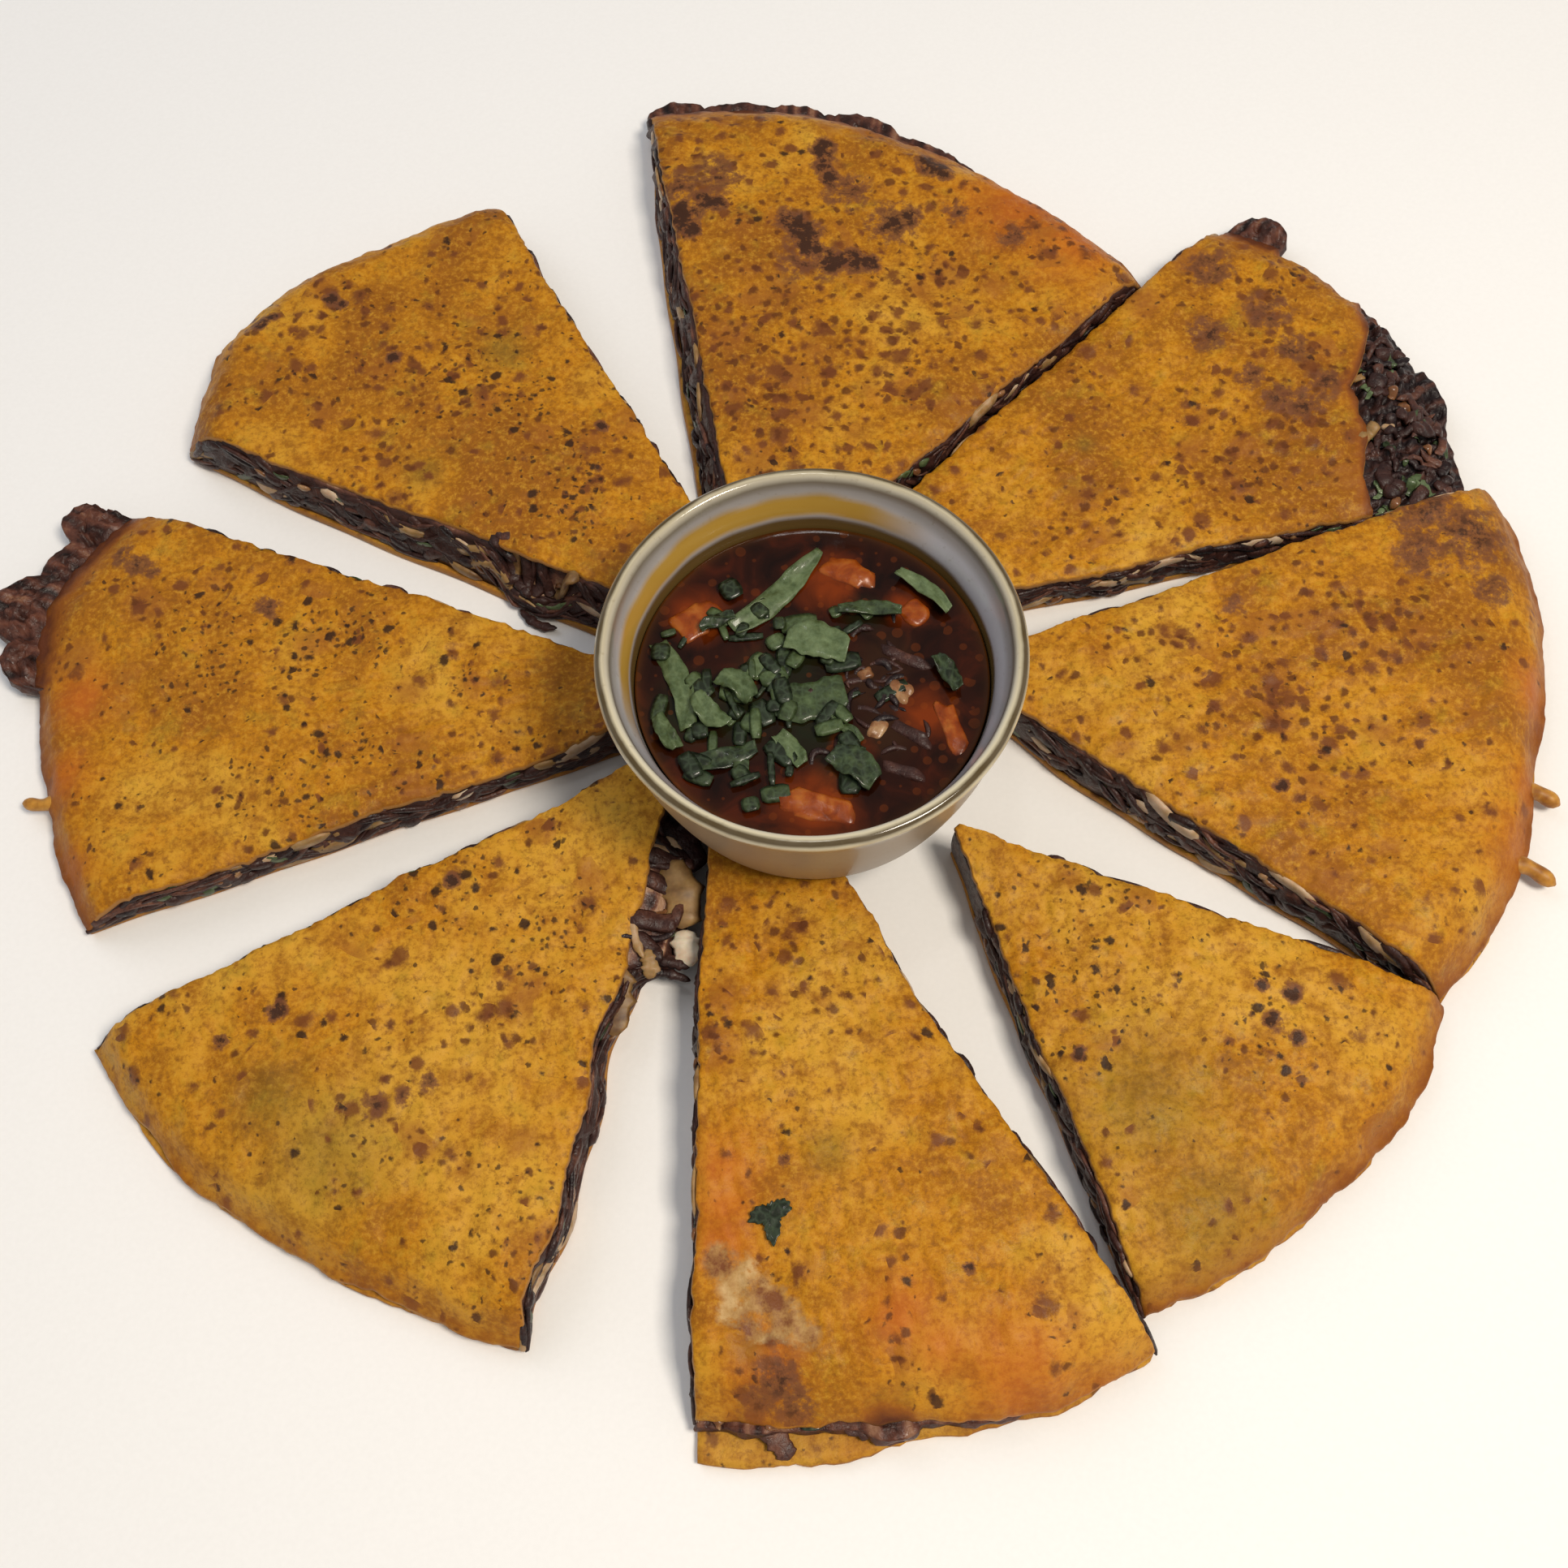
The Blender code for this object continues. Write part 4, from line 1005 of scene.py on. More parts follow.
def filling_top(piece, number, length, across):
    """The top of the filling: just under the upper tortilla, bare and uneven where that is
    torn, rising to the crisp lumps past the round edge, and low where it is pushed out of the
    last cut. Returns places and heights."""
    place = plan(piece, length, across, SPREAD_HIGH, PUSHED_HIGH)
    height = upper_height(piece, length, across, place) - SKIN + 0.1 * MM
    reach = across_values(piece.reach, across)
    bare = ease((length - reach + across_values(piece.torn, across)) / (3 * MM))
    out, rise = crag_rise(piece, across)
    past = ease((length - reach + 3 * MM) / (5 * MM))
    inside = 0.3 + 0.7 * ease((reach + crag_edge(piece, across) - length) / (5 * MM))
    uneven = 0.7 * bumps(place, COARSE, number + 9) + 0.4 * bumps(place, FINE, number + 11)
    folds = crisp_folds(piece, number, length, across)
    folds = folds * np.clip(out / (8 * MM), 0.25, 1)
    height = height + rise * past + inside * bare * 1.1 * MM * uneven
    height = height + past * (1 - bare) * 0.3 * MM * folds
    if piece.tongue:
        start, end, _, low = piece.tongue
        pushed = stretch(length, start, end, 5) * ease((across - 0.93) / 0.05)
        height = height + (np.minimum(height, low * MM + 0.5 * MM * uneven) - height) * pushed
    return place, height


def crisp_folds(piece, number, length, across):
    """Folds that run outwards in the crisp edge: waves about 3 mm wide and 20 mm long."""
    around = np.broadcast_to(across, length.shape) * np.radians(piece.opening) * 150 * MM
    spot = np.stack([around, length * 0.15], axis=-1)
    return 0.7 * bumps(spot, 3.2 * MM, number + 15) + 0.4 * bumps(spot, 1.6 * MM, number + 17)


def crag_edge(piece, across):
    """How far the filling reaches past the round edge at each place across. It stops short of
    an edge that is fried shut."""
    out, _ = crag_rise(piece, across)
    out = 0.6 * MM + np.maximum(out, 0.1 * across_values(piece.spill, across))
    return out - 2.2 * MM * plain_edge(piece, across)


class BIRRIA_OT_filling(Operation):
    """Builds the body of the filling between both tortillas, with lumpy cuts"""

    bl_idname = "birria.filling"
    bl_label = "Filling"

    def execute(self, context):
        settings = context.scene.birria.filling
        finish = shredded_beef(settings)
        for number, piece in enumerate(SLICES, 1):
            piece = without_drips(piece)

            def far(across):
                reach, out = across_values(piece.reach, across), crag_edge(piece, across)
                fringe = np.clip(out / (9 * MM) - 0.4, 0.05, 1) * 0.8 * MM
                return reach + out + fringe * ragged_line(across, number)

            fine = any(piece.torn) or bool(piece.crags) or any(piece.spill)
            length, across = slice_grid(piece, far, *(CRAGGY_GRID if fine else FILLING_GRID))
            high, roof = filling_top(piece, number, length, across)
            low = plan(piece, length, across, SPREAD_LOW, PUSHED_LOW)
            lower, upper = raised(low, np.full_like(length, SKIN * 0.9)), raised(high, roof)
            rings, out, down = side_rings(lower, upper, 8, 0.5 * MM, reach=6 if fine else 1)
            clear = clear_of_cup(rings[..., :2] - CUP_AXIS)
            lump = bumps(rings, COARSE, number) + 0.3 * bumps(rings, FINE, number + 3)
            # The round edge, the grid's last row, is smoother than the cuts
            edge = border(*length.shape)
            smooth = np.where(edge // length.shape[1] == length.shape[0] - 1, 0.5, 1)
            push = settings.lump * 0.6 * lump * np.sin(math.pi * down) * clear * smooth
            rings = rings + push[..., None] * out
            points, faces = shell(lower, upper, rings)
            bared = ease(across_values(piece.torn, across) / (8 * MM))
            streaks = 0.12 - 0.16 * bared + 0.16 * crisp_folds(piece, number, length, across)
            # Where the lower tortilla lies bare or filling is pushed out, there is more cheese
            reach, torn = across_values(piece.reach, across), across_values(piece.torn, across)
            pale = ease(across_values(piece.spill, across) / (4 * MM))
            pale = 0.2 * pale * ease((length - reach + 2 * MM) / (2 * MM))
            if piece.tongue:
                start, end = piece.tongue[:2]
                pale = np.maximum(pale, 0.6 * stretch(length, start, end, 8) * (across > 0.93))
            streaks = streaks + (0.5 + 0.3 * bumps(high, 6 * MM, number + 19)) * pale
            loose = rings[..., 0].size
            shade = np.concatenate([streaks.ravel(), np.full(length.size + loose, 0.1)])
            crisp = ease((length - reach + 2 * MM) / (3 * MM)) * (1 - 0.8 * (torn > 2 * MM))
            sides = np.tile(crisp.ravel()[edge], len(rings))
            crisp = np.concatenate([crisp.ravel(), crisp.ravel(), sides])
            lay_piece(f"filling_{number}", points, faces, finish,
                      [f"slice_{number}_filling"], {"shade": shade, "crisp": crisp})
        return {"FINISHED"}


def without_drips(piece):
    """The slice without the flat drips of cheese among its lumps, which are pieces of their own."""
    return piece._replace(crags=tuple(crag for crag in piece.crags if crag[3] > 0))


class Bare(NamedTuple):
    """A stretch where bits of filling show from above: the slice's number, from and to across
    its opening, from and to in millimetres past the round edge, and how many bits of beef,
    cheese, onion and cilantro lie there."""

    slice: int
    across: tuple
    past: tuple
    beef: int
    cheese: int
    onion: int
    herb: int


BARES = (
    Bare(2, (0.0, 0.24), (-25, 0), 9, 1, 2, 16),
    Bare(2, (0.22, 0.45), (-20, -1), 9, 2, 3, 10),
    Bare(5, (0.02, 0.45), (1, 6), 0, 0, 2, 1),
    Bare(6, (0.97, 1.0), (-112, -82), 5, 2, 1, 1),
    Bare(8, (0.97, 1.0), (-112, -92), 6, 2, 1, 1),
)


def bare_bits(kind, scatter, seed, steps=10, sides=8):
    """Bent tapering bits lying on the bare stretches, for one sweep. Each one runs from a random
    place in a random direction, and follows the top of what it lies on."""
    parts, shades = [], []
    for turn, bare in enumerate(BARES):
        piece, count = without_drips(SLICES[bare.slice - 1]), getattr(bare, kind)
        if not count:
            continue
        random = np.random.default_rng(seed * 100 + turn)
        across = random.uniform(*bare.across, count)
        reach = across_values(piece.reach, across)
        most = np.minimum(bare.past[1] * MM, crag_edge(piece, across)) - scatter.long[0] / 2 * MM
        least = bare.past[0] * MM
        if bare.across[0] < 0.9:  # at a torn edge, and not at a cut
            least = np.maximum(least, -across_values(piece.torn, across) - 1.5 * MM)
        length = reach + least + (most - least) * random.uniform(0, 1, count)
        half = random.uniform(*scatter.long, count) * MM / 2
        heading = random.uniform(0, 2 * math.pi, count)
        t = np.linspace(-1, 1, steps)
        bend = random.uniform(-0.5, 0.5, count)[:, None] * (1 - t ** 2)
        cos, sin = np.cos(heading)[:, None], np.sin(heading)[:, None]
        run = half[:, None] * (t * cos - bend * sin)
        drift = half[:, None] * (t * sin + bend * cos)
        long = length[:, None] + run
        wide_span = np.radians(piece.opening) * length[:, None]
        sway = np.clip(across[:, None] + drift / wide_span, -0.02, 1.02)
        edge = across_values(piece.reach, sway) + crag_edge(piece, sway) - 0.6 * MM
        long = np.minimum(long, edge)
        wide = random.uniform(*scatter.wide, count)[:, None] * MM / 2 * np.sqrt(1 - 0.98 * t ** 4)
        place, height = filling_top(piece, bare.slice, long, sway)
        lift = random.uniform(0.0, 0.9, count)[:, None] * MM + 0.5 * wide * scatter.flat
        path = raised(place, height + lift)
        parts.append(sweep(path, wide, wide * scatter.flat, UP, sides))
        shades.append(np.repeat(random.uniform(0, 1, count), steps * sides))
    return parts, np.concatenate(shades)


class Scatter(NamedTuple):
    """The sizes of one kind of loose bits in millimetres, and how they lie on the cuts."""

    long: tuple
    wide: tuple
    flat: float  # thickness as a share of the width
    many: float = 0  # how many on each 100 mm of a cut
    slant: float = 0  # largest turn out of level, in degrees
    out: tuple = (0, 0)  # how far it stands out of the cut


STRANDS = Scatter((6, 17), (0.9, 2.0), 0.8, 58, 35, (0.0, 0.9))
CHUNKS = Scatter((4, 9), (2.2, 4.2), 0.55, 26, 40, (-0.2, 0.7))
CHEESE = Scatter((5, 16), (2.4, 5.0), 0.4, 11, 20, (-0.3, 0.7))
ONION = Scatter((2, 5), (1.4, 2.6), 0.5, 5, 50, (0.4, 1.0))
HERB = Scatter((3, 8), (1.6, 3.2), 0.2, 8, 30, (0.2, 0.9))
# The same kinds where they lie on top
SHREDS = Scatter((5, 14), (1.2, 2.8), 0.6)
NUGGETS = Scatter((4, 8), (3.0, 5.5), 0.4)
PATCHES = Scatter((3, 8), (2.2, 4.6), 0.4)
DICE = Scatter((2, 5), (1.8, 3.0), 0.4)
LEAVES = Scatter((2.5, 6), (1.3, 2.6), 0.12)


def cut_strands(number, piece, scatter, seed, steps=7, sides=6):
    """Bent tapering strands on both cuts of a slice, as one sweep. Each one starts at a random
    place and level and runs along the cut at a random slant, with a random bend."""
    parts, shades = [], []
    for side, way in enumerate(outward_ways(piece)):
        random = np.random.default_rng(seed * 100 + number * 10 + side)
        reach = piece.reach[-side] * MM
        start = max(piece.blunt, 20) * MM
        count = max(3, int(scatter.many * (reach - start) / (100 * MM)))
        half = random.uniform(*scatter.long, count) * MM / 2
        slant = np.radians(random.uniform(-scatter.slant, scatter.slant, count))
        t = np.linspace(-1, 1, steps)
        bend = random.uniform(-0.35, 0.35, count)[:, None] * (1 - t ** 2)
        run = half[:, None] * (t * np.cos(slant)[:, None] - bend * np.sin(slant)[:, None])
        rise = half[:, None] * (t * np.sin(slant)[:, None] + bend * np.cos(slant)[:, None])
        middle = random.uniform(start, reach - 2 * MM, count)
        if side and piece.tongue and piece.tongue[2] > 5:
            low, high = piece.tongue[0] * MM, piece.tongue[1] * MM
            middle = np.where((middle > low) & (middle < high), high + 0.3 * (middle - low), middle)
        length = np.clip(middle[:, None] + run, start, reach + 0.5 * MM)
        level = random.uniform(0.08, 0.92, count)[:, None] + rise / (9 * MM)
        level = np.clip(level, 0.04, 0.97)
        path = filling_face(piece, side, length, level)
        clear = clear_of_cup(path[..., :2] - CUP_AXIS)
        out = random.uniform(*scatter.out, count)[:, None] * MM * clear * (1 - 0.6 * t ** 2)
        path[..., :2] += out[..., None] * way
        wide = random.uniform(*scatter.wide, count)[:, None] * MM / 2 * (1 - 0.75 * t ** 4)
        up = np.array([way[0], way[1], 0.0])
        parts.append(sweep(path, wide, wide * scatter.flat, up, sides))
        shades.append(np.repeat(random.uniform(0, 1, count), steps * sides))
    return parts, np.concatenate(shades)


class BIRRIA_OT_beef(Operation):
    """Lays strands of beef along the cuts of every slice and where the filling is bare"""

    bl_idname = "birria.beef"
    bl_label = "Beef strands"

    def execute(self, context):
        finish = bpy.data.materials["braised_shredded_beef"]
        for number, piece in enumerate(SLICES, 1):
            parts, shades = cut_strands(number, piece, STRANDS, 1)
            more, dark = cut_strands(number, piece, CHUNKS, 2, steps=6)
            points, faces = joined(parts + more)
            lay_piece(f"beef_strands_{number}", points, faces, finish, (),
                      {"shade": np.concatenate([0.4 * shades - 0.08, 0.3 * dark - 0.1])})
        parts, shades = bare_bits("beef", SHREDS, 5)
        more, dark = bare_bits("beef", NUGGETS, 6)
        loose, tones = stray_bits("beef")
        points, faces = joined(parts + more + loose)
        shades = np.concatenate([0.42 * shades - 0.1, 0.3 * dark - 0.1, tones])
        lay_piece("bare_beef", points, faces, finish, (), {"shade": shades})
        return {"FINISHED"}


class Stray(NamedTuple):
    """One bit off the slices' own surfaces: its kind, its two ends in millimetres from the
    cup's axis and above the table, its width, and its thickness as a share of that."""

    kind: str
    start: tuple
    end: tuple
    width: float
    flat: float
    tone: float


# Filling that holds the sixth slice to the fifth, smears on the fifth's spilled edge, and a
# shred beside the eighth
STRAYS = (
    Stray("beef", (-37, -16, 9), (-29, -28, 7), 8.5, 0.6, -0.05),
    Stray("beef", (-33, -16, 8), (-28, -23, 8), 6.0, 0.7, -0.05),
    Stray("beef", (-39, -30, 8), (-37, -44, 8), 5.0, 0.6, 0.1),
    Stray("beef", (-40, -48, 8), (-31, -50, 6), 2.6, 0.7, 0.05),
    Stray("beef", (-40, -51, 7), (-31, -53, 5.5), 2.2, 0.8, 0.0),
    Stray("beef", (-40, -46, 8), (-31, -48, 6), 2.4, 0.7, 0.1),
    Stray("beef", (-22, -145, 5.0), (-16, -152, 2.4), 4.6, 0.2, 0.28),
    Stray("beef", (-5, -147, 4.6), (7, -150, 3.0), 4.4, 0.25, 0.15),
    Stray("beef", (-69, 47, 1.4), (-60, 41, 1.4), 2.4, 0.5, 0.1),
    Stray("cheese", (-34.5, -27, 12.0), (-32.5, -42, 9.0), 8.5, 0.35, 0.16),
    Stray("cheese", (-31.5, -42, 8.0), (-30.5, -50, 6.5), 6.5, 0.3, 0.6),
    Stray("cheese", (-42.5, -36, 13.6), (-40.5, -49, 11.2), 2.0, 0.6, 0.3),
    Stray("cheese", (-40, -47, 11.0), (-40, -53, 9.0), 4.0, 0.5, 0.24),
    Stray("cheese", (-45.5, -50, 11.5), (-47.5, -65, 8.0), 8.5, 0.22, 0.14),
    Stray("cheese", (-49.5, -51, 12.6), (-51, -64, 10.0), 2.4, 0.6, 0.4),
)


def stray_bits(kind):
    """The stray bits of one kind: bars with round ends, bent a little and sagging between.
    Returns them and the tone of each point."""
    parts, tones = [], []
    t = np.linspace(0, 1, 14)[:, None]
    for turn, stray in enumerate(s for s in STRAYS if s.kind == kind):
        start, end = np.array(stray.start) * MM, np.array(stray.end) * MM
        path = start + (end - start) * t
        sway = 0.12 * np.linalg.norm(end - start) * np.sin(t * math.pi)
        path = path + sway * np.array([math.cos(turn * 2.1), math.sin(turn * 2.1), -0.25])
        path[:, :2] += CUP_AXIS
        round_end = np.sqrt(np.clip(1 - np.abs(2 * t[:, 0] - 1) ** 3, 0.02, 1))
        uneven = 1 + 0.16 * np.sin(t[:, 0] * 17 + turn) + 0.1 * np.sin(t[:, 0] * 31 + turn * 2)
        wide = stray.width * MM / 2 * round_end * uneven
        parts.append(sweep(path[None], wide[None], wide[None] * stray.flat, UP, 10))
        tones.append(np.full(len(parts[-1][0]), stray.tone))
    return parts, np.concatenate(tones)


def drips():
    """Flat drips of cheese past the round edge, as swept bars: one for each lump of a slice
    that has no rise of its own."""
    parts = []
    t = np.linspace(0, 1, 14)
    for piece in SLICES:
        for place, half, out, rise in piece.crags:
            if rise > 0:
                continue
            reach = float(across_values(piece.reach, np.array(place)))
            length = reach - 4 * MM + t * (out + 4) * MM
            across = place + 0.25 * half * np.sin(t * 4)
            path = raised(plan(piece, length, across), (4.6 - 1.2 * t) * MM)
            width = 2 * half * math.radians(piece.opening) * reach * 0.5
            round_end = np.sqrt(np.clip(1 - np.maximum(0, 1.6 * t - 0.6) ** 3, 0.02, 1))
            wide = width / 2 * round_end * (1 + 0.15 * np.sin(t * 9))
            parts.append(sweep(path[None], wide[None], np.minimum(wide, 2.0 * MM)[None], UP, 12))
    return parts


class BIRRIA_OT_cheese(Operation):
    """Lays melted cheese, onion and cilantro bits in the cuts and on the bare filling"""

    bl_idname = "birria.cheese"
    bl_label = "Cheese, onion and cilantro bits"

    def execute(self, context):
        scene = context.scene.birria
        onion = cooked_vegetable("cooked_onion", "#4A2A14", "#7E5434", "#A98660")
        kinds = (("cheese", CHEESE, PATCHES, melted_cheese(scene.filling), 0.1, 0.5,
                  "beef_and_cheese"),
                 ("onion", ONION, DICE, onion, 0.0, 1.0, "onion"),
                 ("herb", HERB, LEAVES, fresh_herb(scene.broth), 0.0, 0.3, "cilantro"))
        for kind, in_cut, on_top, finish, low, high, slot in kinds:
            parts, shades = bare_bits(kind, on_top, 7 + len(kind))
            shades = [low + (high - low) * shades]
            for number, piece in enumerate(SLICES, 1):
                some, shade = cut_strands(number, piece, in_cut, 3 + len(kind))
                parts += some
                shades.append(low + (high - low) * shade)
            soaked = 0
            if kind == "cheese":
                (loose, tones), fried = stray_bits(kind), drips()
                parts += loose + fried
                soaked = sum(len(some) for some, _ in fried)
                shades += [tones, np.full(soaked, 0.2)]
            points, faces = joined(parts)
            crisp = np.arange(len(points)) >= len(points) - soaked
            lay_piece(f"{kind}_bits", points, faces, finish, (),
                      {"shade": np.concatenate(shades), "crisp": crisp.astype(float)})
        return {"FINISHED"}


# The cup's sizes and the broth's level

CUP_BASE, CUP_TOP = float(CUP_LOW[2]), float(CUP_HIGH[2])
CUP_RIM_RADIUS = float(CUP_HIGH[0] - CUP_LOW[0]) / 2
CUP_FOOT_RADIUS = 36.0 * MM
CUP_LIP = 3.2 * MM
CUP_INSIDE = CUP_BASE + 4.2 * MM
BROTH_RADIUS = 38.1 * MM
BROTH_LEVEL = CUP_TOP - 14.0 * MM
ARC_SCALE = 5.0  # lengths along the cup's profile, up to 200 mm, as shares of 1


def smooth_profile(knots, step):
    """A smooth line through the knots: a cubic through each four, read at even steps."""
    knots = np.asarray(knots, float)
    padded = np.concatenate([[2 * knots[0] - knots[1]], knots, [2 * knots[-1] - knots[-2]]])
    line = []
    for a, b, c, d in zip(padded, padded[1:], padded[2:], padded[3:]):
        count = max(2, int(np.hypot(*(c - b)) / step))
        t = np.linspace(0, 1, count, endpoint=False)[:, None]
        line.append(0.5 * (2 * b + (c - a) * t + (2 * a - 5 * b + 4 * c - d) * t ** 2
                           + (3 * b - a - 3 * c + d) * t ** 3))
    return np.concatenate(line + [knots[-1:]])


def turned(profile, steps):
    """A profile of radii and heights turned round the cup's axis, closed with a small cap at
    each end. Points are profile steps by turns."""
    angle = np.linspace(0, 2 * math.pi, steps, endpoint=False)
    radius, height = profile[:, 0][:, None], profile[:, 1][:, None]
    points = np.stack([radius * np.cos(angle) + CUP_AXIS[0], radius * np.sin(angle) + CUP_AXIS[1],
                       height + 0 * angle], axis=-1)
    index = np.arange(len(profile) * steps).reshape(len(profile), steps)
    here, after = index[:-1], index[1:]
    corners = [here, np.roll(here, -1, axis=1), np.roll(after, -1, axis=1), after]
    faces = [np.stack(corners, axis=-1).reshape(-1, 4), index[:1, ::-1], index[-1:]]
    return points, faces, angle


class BIRRIA_OT_cup(Operation):
    """Turns the glazed cup, with a soft lip and a foot ring"""

    bl_idname = "birria.cup"
    bl_label = "Cup"

    def execute(self, context):
        settings = context.scene.birria.cup
        outer, inner, foot = CUP_RIM_RADIUS, CUP_RIM_RADIUS - CUP_LIP, CUP_FOOT_RADIUS
        under = [(0.5 * MM, CUP_BASE + 1.0 * MM), (foot - 5 * MM, CUP_BASE + 1.0 * MM),
                 (foot - 3.4 * MM, CUP_BASE + 0.3 * MM), (foot - 2.2 * MM, CUP_BASE),
                 (foot - 1.0 * MM, CUP_BASE), (foot, CUP_BASE + 1.0 * MM)]
        wall = [(foot + 2.4 * MM, CUP_BASE + 8 * MM), (outer - 3.6 * MM, CUP_BASE + 20 * MM),
                (outer - 1.5 * MM, CUP_TOP - 7 * MM), (outer - 0.7 * MM, CUP_TOP - 3.4 * MM),
                (outer - 0.1 * MM, CUP_TOP - 2.2 * MM), (outer - 0.15 * MM, CUP_TOP - 1.0 * MM),
                (outer - 0.9 * MM, CUP_TOP - 0.15 * MM), (outer - 1.7 * MM, CUP_TOP),
                (inner + 0.7 * MM, CUP_TOP - 0.2 * MM), (inner + 0.1 * MM, CUP_TOP - 1.0 * MM)]
        inside = [(inner - 0.4 * MM, CUP_TOP - 3 * MM),
                  (BROTH_RADIUS + 1.0 * MM, BROTH_LEVEL + 5 * MM), (BROTH_RADIUS, BROTH_LEVEL),
                  (BROTH_RADIUS - 3.0 * MM, CUP_INSIDE + 9 * MM),
                  (BROTH_RADIUS - 5.4 * MM, CUP_INSIDE + 3 * MM),
                  (BROTH_RADIUS - 9.0 * MM, CUP_INSIDE + 0.2 * MM), (0.5 * MM, CUP_INSIDE)]
        profile = smooth_profile(under + wall + inside, 0.7 * MM)
        profile[:, 1] = np.clip(profile[:, 1], CUP_BASE, CUP_TOP)
        profile[:, 0] = np.clip(profile[:, 0], 0, outer)
        run = np.concatenate([[0], np.cumsum(np.hypot(*np.diff(profile, axis=0).T))])
        lip = run[np.argmin(np.hypot(profile[:, 0] - outer + 1.7 * MM, profile[:, 1] - CUP_TOP))]
        points, faces, angle = turned(profile, 160)
        height = points[..., 2]
        above = (height - BROTH_LEVEL) / MM
        uneven = 0.8 * np.sin(angle * 2 - 2.2) + 0.35 * np.sin(angle * 9 + 1)
        uneven = uneven + 0.2 * np.sin(angle * 23)
        # The fat's band is strongest at the back left, and a brown ring lies below it. The ring's
        # channel also carries painted shade over the upper back of the inner wall
        left = ease((np.cos(angle - math.radians(125)) - 0.1) / 0.5)
        band = ease((above - 2.8 - 0.5 * uneven) / 1.6) * ease((9.6 + 0.8 * uneven - above) / 2.0)
        back = ease((np.cos(angle - math.radians(85)) + 0.55) / 0.7)
        ring = ease((1.2 + 2.8 * back + 0.4 * uneven - above) / 1.8)
        # painted shade: the upper back of the inner wall darkened with the ring's brown
        ring = np.maximum(ring, 0.3 * back * ease((above - 7.5) / 2.5))
        wall = np.arange(len(profile))[:, None] > np.argmax(profile[:, 1])
        arc = np.broadcast_to(run[:, None], height.shape) * ARC_SCALE
        glaze = np.stack([arc, 0.95 * wall * left * band, 0.97 * wall * ring], axis=-1)
        lay_piece("glazed_cup", points.reshape(-1, 3), faces,
                  glazed_stoneware(settings, lip * ARC_SCALE), ["cup"],
                  {"glaze": glaze.reshape(-1, 3)})
        return {"FINISHED"}


# What lies in the cup, in millimetres from its axis


class Morsel(NamedTuple):
    """A piece that floats half sunk in the broth."""

    name: str
    place: tuple
    size: tuple
    turn: float


MORSELS = (
    Morsel("carrot_1", (-24.0, 16.6), (9.5, 6.5), 35),
    Morsel("carrot_2", (10.2, 25.6), (11.5, 5.5), -25),
    Morsel("carrot_3", (28.2, -13.5), (11.5, 3.8), -78),
    Morsel("carrot_4", (-1.6, -29.8), (14.0, 5.6), -18),
    Morsel("carrot_5", (23.2, 14.4), (5.5, 4.5), -50),
    Morsel("onion_1", (18.6, -4.4), (5.0, 3.8), -30),
    Morsel("onion_2", (11.6, 0.4), (3.2, 2.6), 20),
    Morsel("onion_3", (12.8, -13.0), (4.2, 3.0), 60),
    Morsel("beef_1", (19.6, -14.6), (9.0, 2.5), -38),
    Morsel("beef_2", (20.4, 3.4), (10.0, 2.3), -30),
    Morsel("beef_3", (17.2, -23.0), (8.5, 2.5), -22),
)


class Strip(NamedTuple):
    """A cut strip of leaf that lies on the broth."""

    start: tuple
    end: tuple
    width: float
    taper: float
    bend: float
    layer: int


CILANTRO = (
    Strip((4, 31.5), (-16, 13), 5.6, 0.3, 1.0, 0),
    Strip((-15.5, 15.8), (-23, 12.7), 3.0, 0.6, -0.8, 1),
    Strip((-32.4, 11.0), (-26.8, -10), 4.8, 0.8, 1.6, 0),
    Strip((-33.0, -7), (-29.0, -15), 3.6, 0.7, -0.6, 1),
    Strip((-26.4, -18.0), (-12.7, -15.2), 4.4, 0.9, -1.0, 0),
    Strip((-5, 9), (8, 5), 8.0, 0.6, 1.5, 1),
    Strip((-8.7, -5.7), (6.8, -3.4), 9.0, 0.7, -1.0, 0),
    Strip((6.7, 15.5), (20.4, 13.8), 3.2, 0.5, 0.8, 1),
    Strip((20.5, 24.0), (30.5, 13.2), 3.2, 0.7, 1.0, 1),
    Strip((2.7, -18.5), (11.2, -26), 6.5, 0.7, 1.0, 1),
    Strip((-19.6, 1.6), (-12.9, -4.6), 5.0, 0.8, 1.0, 1),
    Strip((-24.8, -2.6), (-18.6, -10.3), 4.6, 0.7, -1.0, 1),
    Strip((26.4, 2.4), (30.4, -6.0), 3.6, 0.6, 0.6, 1),
    Strip((-8.2, -12.9), (-3.4, -20.3), 3.8, 0.8, 0.6, 0),
    Strip((2.9, -10.2), (9.4, -15.8), 2.2, 0.9, 0.5, 0),
)


# Carrot, leaf, and onion with beef that lie deeper and show through: places and radii
BELOW = (((4, 24, 8), (-2, -29, 9), (24, -10, 6), (-24, 17, 7), (22, 16, 5), (7, -19, 5)),
         ((-26, -5, 9), (-15, -8, 9), (-3, 3, 9), (-2, -14, 7), (4, -22, 6), (12, 15, 5)),
         ((9, -2, 8), (16, 4, 7), (14, -14, 7), (-12, 4, 5)))


